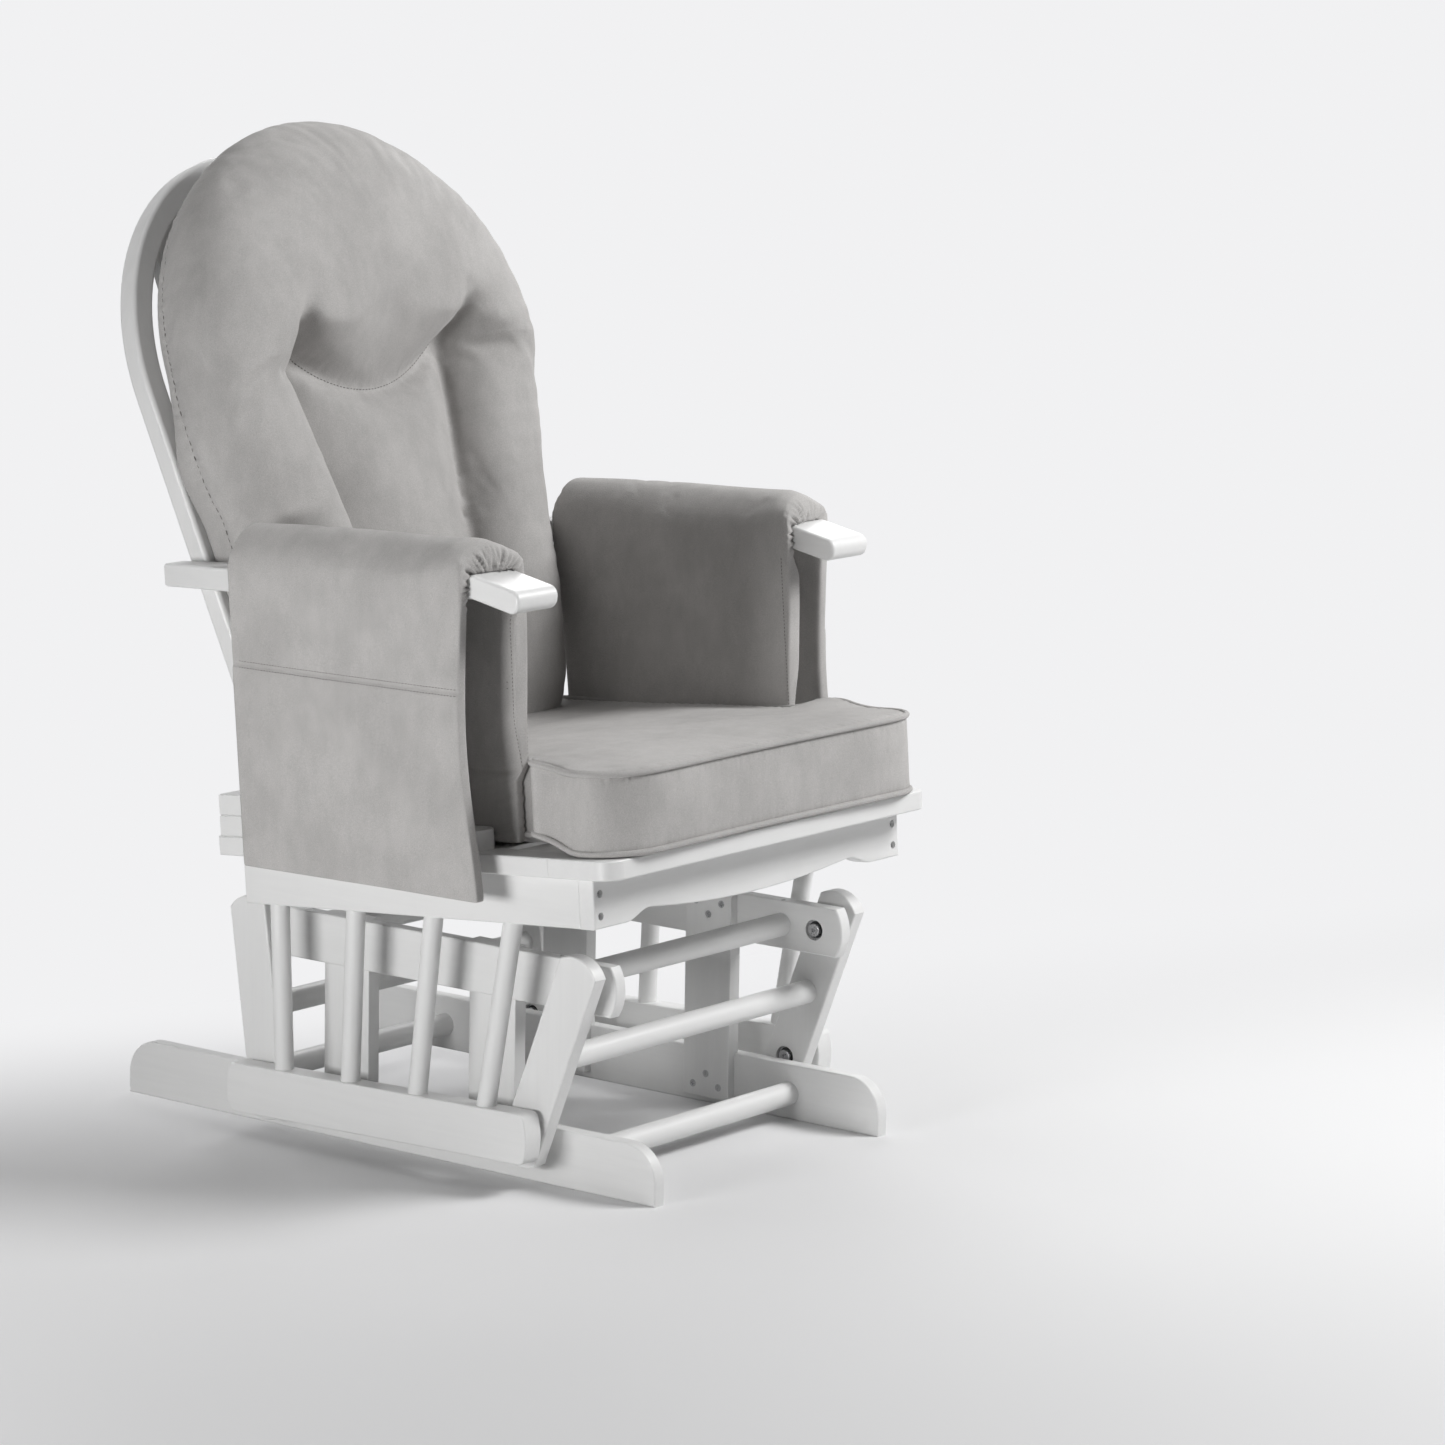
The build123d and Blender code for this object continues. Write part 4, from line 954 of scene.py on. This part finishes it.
class CHAIR_OT_back_cushion(bpy.types.Operator):
    """Makes the back cushion: a head and two side lobes sewn round a sunk middle panel"""

    bl_idname = "chair.back_cushion"
    bl_label = "Make the back cushion"

    def execute(self, context):
        finish, sizes = context.scene.chair_finish, context.scene.chair_cushions
        seam = sizes.seam_depth * MM
        cover = soft_copy("back_cushion", "back_cushion_cover", BACK, 0.006)
        points = points_of(cover.data)
        x, d, s = points.T
        deep = -d
        share = (back_depth(x, s, seam) - BACK_REST) / (BACK_FRONT - BACK_REST)
        deep = np.where(deep > BACK_REST, BACK_REST + (deep - BACK_REST) * share, deep)
        put_points(cover.data, self.plump(x, deep, s))
        even_faces(cover, 0.0055)
        relax(cover, 2)
        points = points_of(cover.data)
        gap, _ = seams_gap(points[:, [0, 2]])
        held = ((gap < 5) & (points[:, 1] < -50)) | (points[:, 1] > -16) | (self.height(points) < 8)
        inflate(cover, held, 14.0)
        relax(cover, 1)
        subdivide(cover)
        gap, _ = seams_gap(points_of(cover.data)[:, [0, 2]])
        relax(cover, 3, gap > 15)
        self.sew(cover)
        suede = suede_material("Grey suede", finish)
        tree = surface_of(cover)
        place_piece(cover, BACK, suede)
        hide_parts("back_cushion")
        starts = [(x, -260, s) for x, s in even_steps(SMILE, sizes.stitch * MM)]
        rows, edge = [on_surface(tree, starts, (0, 1, 0))], []
        for x, s in even_steps(back_outline(-70), sizes.stitch * MM * 1.75):
            way = Vector((-x, 0, min(HEAD_CENTRE - s, 0))).normalized()
            edge += on_surface(tree, [(x, -EDGE_SEAM, s)], way)
        rows.append(edge)
        stitch_rows("back_cushion_stitches", rows, sizes.stitch, 0.0011, BACK, thread_material(finish))
        return {"FINISHED"}

    @staticmethod
    def height(points):
        """Height above the seat cushion, in mm."""
        _, d, s = points.T
        return BACK_UP * MM - d * sin(BACK_RECLINE) + s * cos(BACK_RECLINE) - (SEAT_HIGH + 0.5)

    @classmethod
    def plump(cls, x, deep, s):
        """Fills the lobes out over the frame, widens the waist behind the arm pads and rounds the foot."""
        waist = ease((s - 110) / 110) * (1 - ease((s - 340) / 110)) * (1 - ease((deep - 55) / 40))
        x = x * (1 + 0.085 * waist)
        over = np.clip(s - HEAD_CENTRE, 0, None)
        reach = np.hypot(x, over)
        behind = np.clip(REAR_ROUND - deep, 0, None)
        pulled = REAR_ROUND - np.sqrt(REAR_ROUND**2 - behind**2) - REAR_EDGE
        pulled += np.sqrt(REAR_EDGE**2 - np.clip(REAR_EDGE - deep, 0, REAR_EDGE) ** 2)
        full = -np.clip(pulled, 0, None) * ease((s - 320) / 110) * np.clip(reach / HEAD_RADIUS, 0, 1) ** 4
        full += 9 * ease((deep - 40) / 40) * ease((s - 200) / 120) * np.clip(reach / HEAD_RADIUS, 0, 1) ** 3
        x, s = x + full * x / np.maximum(reach, 1), s + full * over / np.maximum(reach, 1)
        points = np.stack([x, -deep, s], axis=1)
        foot = np.clip(1 - cls.height(points) / 60, 0, 1) ** 2
        points[:, 0] *= 1 - 0.05 * foot
        points[:, 1] *= 1 - 0.12 * np.clip(1 - cls.height(points) / 40, 0, 1) ** 2
        return points

    @staticmethod
    def sew(cover):
        """Puckers along the front seams and round the edge seam."""
        points = points_of(cover.data)
        normals = normals_of(cover.data)
        flat = points[:, [0, 2]]
        gap, arc = seams_gap(flat)
        front = ease((-points[:, 1] - 45) / 20)
        move = 0.28 * gathers(arc, 12.0) * np.exp(-((gap - 5) / 6) ** 2) * front
        rim, rim_arc = along(flat, back_outline())
        beside = np.abs(points[:, 1] + EDGE_SEAM)
        side = np.clip(1.2 - np.abs(normals[:, 1]), 0, 1) * np.exp(-((rim / 32) ** 2))
        move -= 3.2 * np.exp(-(beside / 3.6) ** 2) * side
        move += 1.3 * gathers(rim_arc, 15.0, 0.7) * np.exp(-((beside - 6) / 9) ** 2) * side
        lobe = np.exp(-((rim - 35) / 55) ** 2) * front
        move += 0.55 * gathers(rim_arc + 0.25 * rim, 31.0, 1.9) * lobe
        put_points(cover.data, points + normals * move[:, None])


# Arm pads, in mm in the seat's frame: x outward, v rearward, w up
PAD_FRONT, PAD_REAR = 98.0, 420.0
POCKET_SEAM, BAND_SEAM, HEM = 196.0, 97.0, 9.0
ARM_MIDDLE, ARM_HALF, GATHER_MIDDLE = 257.75, 44.25, 285.0
INNER_FLAP, OUTER_FLAP = 227.0, 287.0
INNER_END, OUTER_END = 24.0, -14.0


def pocket_seam(v):
    """Height of the pocket's seam, which falls towards the front."""
    return POCKET_SEAM + np.interp(v, (PAD_FRONT, PAD_REAR), (-13, 10))


class CHAIR_OT_arm_pads(bpy.types.Operator):
    """Makes the two arm pads: quilted covers draped over the armrests, with a pocket on the outside"""

    bl_idname = "chair.arm_pads"
    bl_label = "Make the arm pads"

    def execute(self, context):
        finish, sizes = context.scene.chair_finish, context.scene.chair_cushions
        suede = suede_material("Grey suede", finish)
        for side, way in (("left", 1), ("right", -1)):
            cover = soft_copy(f"arm_pad_{side}", f"arm_pad_cover_{side}", SEAT, 0.0045)
            points = points_of(cover.data)
            x, v, w = points[:, 0] * way, points[:, 1], points[:, 2]
            ends = np.minimum(v - PAD_FRONT, PAD_REAR - v)
            hem = np.where(x > OUTER_FLAP, w - OUTER_END, np.where(x < INNER_FLAP, w - INNER_END, np.inf))
            held = ((ends < 5) | (hem < 6)) & (w < 290)
            held |= (x > 224) & (x < 290) & (w < 303)
            put_points(cover.data, self.drape(x, v, w) * (way, 1, 1))
            inflate(cover, held, 5.0)
            subdivide(cover)
            self.sew(cover, way)
            tree = surface_of(cover)
            rows = []
            levels = np.arange(44, 268, sizes.stitch * MM * 0.8)
            for start, turn in ((way * 100, way), (way * 255, -way)):
                starts = [(start, PAD_FRONT + HEM, w) for w in levels]
                rows.append(on_surface(tree, starts, (turn, 0, 0)))
            steps = np.arange(PAD_FRONT + 16, PAD_REAR - 8, sizes.stitch * MM * 0.8)
            for beside in (-3.2, 3.2):
                starts = [(way * 400, v, up + beside) for v, up in zip(steps, pocket_seam(steps))]
                rows.append(on_surface(tree, starts, (-way, 0, 0)))
            place_piece(cover, SEAT, suede)
            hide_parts(f"arm_pad_{side}")
            stitch_rows(f"arm_pad_stitches_{side}", rows, sizes.stitch, 0.0009, SEAT, thread_material(finish))
        return {"FINISHED"}

    @staticmethod
    def drape(x, v, w):
        """Rounds the top over the arm and hangs the flaps, the outer one's front edge drawn back."""
        across = np.clip((x - ARM_MIDDLE) / ARM_HALF, -1, 1)
        top = np.clip((w - 300.5) / 30, 0, 1)
        rise = (3 + 11 * ease((v - 130) / 230)) * (1 - across**2) - 20 * across**2 * (1 - across**2)
        rise = (rise - 3 * (1 - ease((v - PAD_FRONT) / 22))) * top
        outer = ease((x - 285) / 3)
        hang = np.clip((250 - w) / 264, 0, 1) * outer
        lower = np.interp(v, (PAD_FRONT, PAD_REAR), (-9, 12)) * ease(hang * 3)
        front = 1 - ease((v - PAD_FRONT) / 160)
        back = np.where(w > 290, ease((x - 225) / 70), outer)
        drawn = (10 + 12 * np.sin(np.clip((300 - w) / 314, 0, 1) * pi) ** 1.5) * front * back
        inner = x < INNER_FLAP
        tuck = 8 * ease((260 - w) / 160) + 9 * ease((BAND_SEAM - w) / 8)
        drawn += tuck * (1 - ease((v - PAD_FRONT) / 70)) * inner
        drawn -= 10 * ease((280 - w) / 170) * ease((v - 300) / 110) * inner
        drawn += 10 * np.clip((w - 312) / 18, 0, 1) ** 2 * (1 - ease((v - PAD_FRONT) / 40))
        thick = 9 * np.exp(-np.clip(v - PAD_FRONT, 0, None) / 24)
        thick *= ease((268 - w) / 24) * ease((w - BAND_SEAM) / 60)
        x = x + thick * ((x > INNER_FLAP - 8) & inner)
        return np.stack([x, v + drawn, w + rise + lower], axis=1)

    @staticmethod
    def sew(cover, way):
        """Presses in the pocket seam and the hems, and gathers the front edge over the arm."""
        points = points_of(cover.data)
        normals = normals_of(cover.data)
        x, v, w = points[:, 0] * way, points[:, 1], points[:, 2]
        out = normals[:, 0] * way
        seam_level = pocket_seam(v)
        skin = ease((out - 0.4) / 0.4) * (x > 294)
        move = -1.6 * np.exp(-((w - seam_level) / 2.2) ** 2) * skin
        move += 0.8 * ease((seam_level - w) / 3) * skin
        move += 0.5 * gathers(v, 21.0) * np.exp(-((w - seam_level) / 9) ** 2) * skin
        round_the_arm = 44 * np.arctan2(w - GATHER_MIDDLE, x - ARM_MIDDLE)
        edge = PAD_FRONT + 10 * ease((x - 225) / 70)
        front = np.exp(-np.clip(v - edge, 0, None) / 14) * ease((w - 255) / 25)
        ahead = -normals[:, 1]
        under = 1 - ease((np.hypot(x - ARM_MIDDLE, w - GATHER_MIDDLE) - 34) / 12)
        move += 3.3 * gathers(round_the_arm, 8.2) * front * ease((ahead - 0.3) / 0.4) * under
        move -= 1.2 * np.exp(-(((ahead - 0.55) / 0.2) ** 2)) * front * (1 - under)
        inside = (x < 230) & (w < 280)
        move -= 2.0 * np.exp(-((w - BAND_SEAM) / 3.0) ** 2) * inside
        below = ease((BAND_SEAM - w) / 6) * np.exp(-np.clip(v - PAD_FRONT, 0, None) / 30) * inside
        move += 1.4 * gathers(w + 0.3 * v, 10.0, 1.2) * below
        put_points(cover.data, points + normals * move[:, None])


# Stage: each lamp's place, size and spread, the point they are turned to, and the camera
LAMPS = {
    "side": ((-2.3, -0.1, 0.50), (0.8, 0.4), radians(80)),
    "front": ((1.3, -1.9, 2.2), (1.3, 1.0), pi),
    "top": ((-0.2, 0.8, 2.9), (1.8, 1.8), pi),
    "rear": ((1.8, 1.2, 2.0), (1.3, 1.0), pi),
}
AIM = Vector((0, -0.05, 0.55))
CAMERA_PLACE, CAMERA_LENS = (-4.202543, -3.532734, 1.380466), 131.998
CAMERA_ANGLES = (-0.91588363, 0.17290670, 0.01795485)
FLOOR_RADIUS, AWAY_FROM_CAMERA = 60.0, (0.49, 1.0, 0)


class CHAIR_OT_stage(bpy.types.Operator):
    """Sets up the floor, the soft light and the camera"""

    bl_idname = "chair.stage"
    bl_label = "Set the stage"

    def execute(self, context):
        scene = context.scene
        stage = scene.chair_stage
        scene.view_settings.view_transform = "Standard"
        self.floor(stage)
        self.world(scene, stage)
        for name, (place, size, spread) in LAMPS.items():
            self.lamp(f"{name} light", place, size, getattr(stage, name), spread)
        self.camera(scene)
        return {"FINISHED"}

    @staticmethod
    def floor(stage):
        """A wide pale floor that keeps the shadow and, for the camera, fades into the backdrop."""
        shape = bmesh.new()
        bmesh.ops.create_circle(shape, cap_ends=True, cap_tris=False, segments=96, radius=FLOOR_RADIUS)
        mesh = bpy.data.meshes.new("floor")
        shape.to_mesh(mesh)
        shape.free()
        ground = new_object("floor", mesh)
        material, tree, shader, coords = new_material("Pale floor")
        drift = remapped(tree, noise(tree, coords, 0.8, 2), 0.3, 0.7, 0, 1)
        pale = rgba(stage.floor)
        shade = rgba(c * 0.985 for c in stage.floor)
        tree.links.new(mixed(tree, drift, pale, shade), shader.inputs["Base Color"])
        shader.inputs["Roughness"].default_value = 0.9
        shader.inputs["Specular IOR Level"].default_value = 0.1
        far = add_node(tree, "ShaderNodeVectorMath", operation="DISTANCE")
        tree.links.new(coords, far.inputs[0])
        beyond = add_node(tree, "ShaderNodeVectorMath", operation="DOT_PRODUCT")
        tree.links.new(coords, beyond.inputs[0])
        beyond.inputs[1].default_value = AWAY_FROM_CAMERA
        away = calc(
            tree,
            "MAXIMUM",
            remapped(tree, far.outputs["Value"], 0.9, 2.2, 0, 1),
            remapped(tree, beyond.outputs["Value"], -0.2, 0.65, 0, 1),
        )
        path = add_node(tree, "ShaderNodeLightPath")
        seen = calc(tree, "MULTIPLY", away, path.outputs["Is Camera Ray"])
        glow = add_node(tree, "ShaderNodeEmission")
        glow.inputs["Color"].default_value = rgba(stage.backdrop)
        mix = add_node(tree, "ShaderNodeMixShader")
        tree.links.new(seen, mix.inputs["Fac"])
        tree.links.new(shader.outputs["BSDF"], mix.inputs[1])
        tree.links.new(glow.outputs["Emission"], mix.inputs[2])
        tree.links.new(mix.outputs["Shader"], tree.nodes["Material Output"].inputs["Surface"])
        mesh.materials.append(material)

    @staticmethod
    def world(scene, stage):
        """Even light from all round; the camera and reflections see the backdrop's colour."""
        world = scene.world or bpy.data.worlds.new("studio")
        scene.world = world
        world.use_nodes = True
        tree = world.node_tree
        tree.nodes.clear()
        out = add_node(tree, "ShaderNodeOutputWorld")
        light = add_node(tree, "ShaderNodeBackground")
        seen = add_node(tree, "ShaderNodeBackground")
        light.inputs["Color"].default_value = (1, 1, 1, 1)
        light.inputs["Strength"].default_value = stage.fill
        seen.inputs["Color"].default_value = rgba(stage.backdrop)
        path = add_node(tree, "ShaderNodeLightPath")
        pick = calc(tree, "MAXIMUM", path.outputs["Is Camera Ray"], path.outputs["Is Glossy Ray"])
        mix = add_node(tree, "ShaderNodeMixShader")
        tree.links.new(pick, mix.inputs["Fac"])
        tree.links.new(light.outputs[0], mix.inputs[1])
        tree.links.new(seen.outputs[0], mix.inputs[2])
        tree.links.new(mix.outputs[0], out.inputs["Surface"])

    @staticmethod
    def lamp(name, place, size, power, spread):
        """A soft rectangular lamp turned towards the chair."""
        data = bpy.data.lights.new(name, "AREA")
        data.shape = "RECTANGLE"
        data.size, data.size_y = size
        data.energy = power
        data.spread = spread
        lamp = new_object(name, data)
        lamp.location = place
        lamp.rotation_euler = (AIM - Vector(place)).to_track_quat("-Z", "Y").to_euler()

    @staticmethod
    def camera(scene):
        """The camera that the chair is seen from: left of the front and a little above."""
        turn, rise, roll = CAMERA_ANGLES
        back = Vector((sin(turn) * cos(rise), -cos(turn) * cos(rise), sin(rise)))
        right = Vector((cos(turn), sin(turn), 0))
        up = back.cross(right)
        across = right * cos(roll) + up * sin(roll)
        upright = up * cos(roll) - right * sin(roll)
        data = bpy.data.cameras.new("camera")
        data.lens = CAMERA_LENS
        data.sensor_width = 36
        camera = new_object("camera", data)
        place = Matrix((across, upright, back)).transposed().to_4x4()
        place.translation = CAMERA_PLACE
        camera.matrix_world = place
        scene.camera = camera


class CHAIR_PT_panel(bpy.types.Panel):
    """Steps and sizes of the glider chair"""

    bl_idname = "CHAIR_PT_panel"
    bl_label = "Glider chair"
    bl_space_type = "VIEW_3D"
    bl_region_type = "UI"
    bl_category = "Glider chair"

    def draw(self, context):
        for step in STEPS:
            self.layout.operator(step.bl_idname)
        for group in GROUPS:
            values = getattr(context.scene, group)
            box = self.layout.box()
            for name in values.__annotations__:
                box.prop(values, name)


GROUPS = {"chair_finish": ChairFinish, "chair_cushions": ChairCushions, "chair_stage": ChairStage}
STEPS = (
    CHAIR_OT_paint_frame,
    CHAIR_OT_plate_fittings,
    CHAIR_OT_seat_cushion,
    CHAIR_OT_back_cushion,
    CHAIR_OT_arm_pads,
    CHAIR_OT_stage,
)


def register():
    """Adds the chair's values, steps and panel."""
    for name, group in GROUPS.items():
        bpy.utils.register_class(group)
        setattr(bpy.types.Scene, name, PointerProperty(type=group))
    for step in STEPS + (CHAIR_PT_panel,):
        bpy.utils.register_class(step)


def unregister():
    """Takes the chair's panel, steps and values away."""
    for step in (CHAIR_PT_panel,) + STEPS[::-1]:
        bpy.utils.unregister_class(step)
    for name, group in GROUPS.items():
        delattr(bpy.types.Scene, name)
        bpy.utils.unregister_class(group)


def main():
    """Runs every step."""
    register()
    bpy.ops.chair.paint_frame()
    bpy.ops.chair.plate_fittings()
    bpy.ops.chair.seat_cushion()
    bpy.ops.chair.back_cushion()
    bpy.ops.chair.arm_pads()
    bpy.ops.chair.stage()


if __name__ == "__main__":
    main()
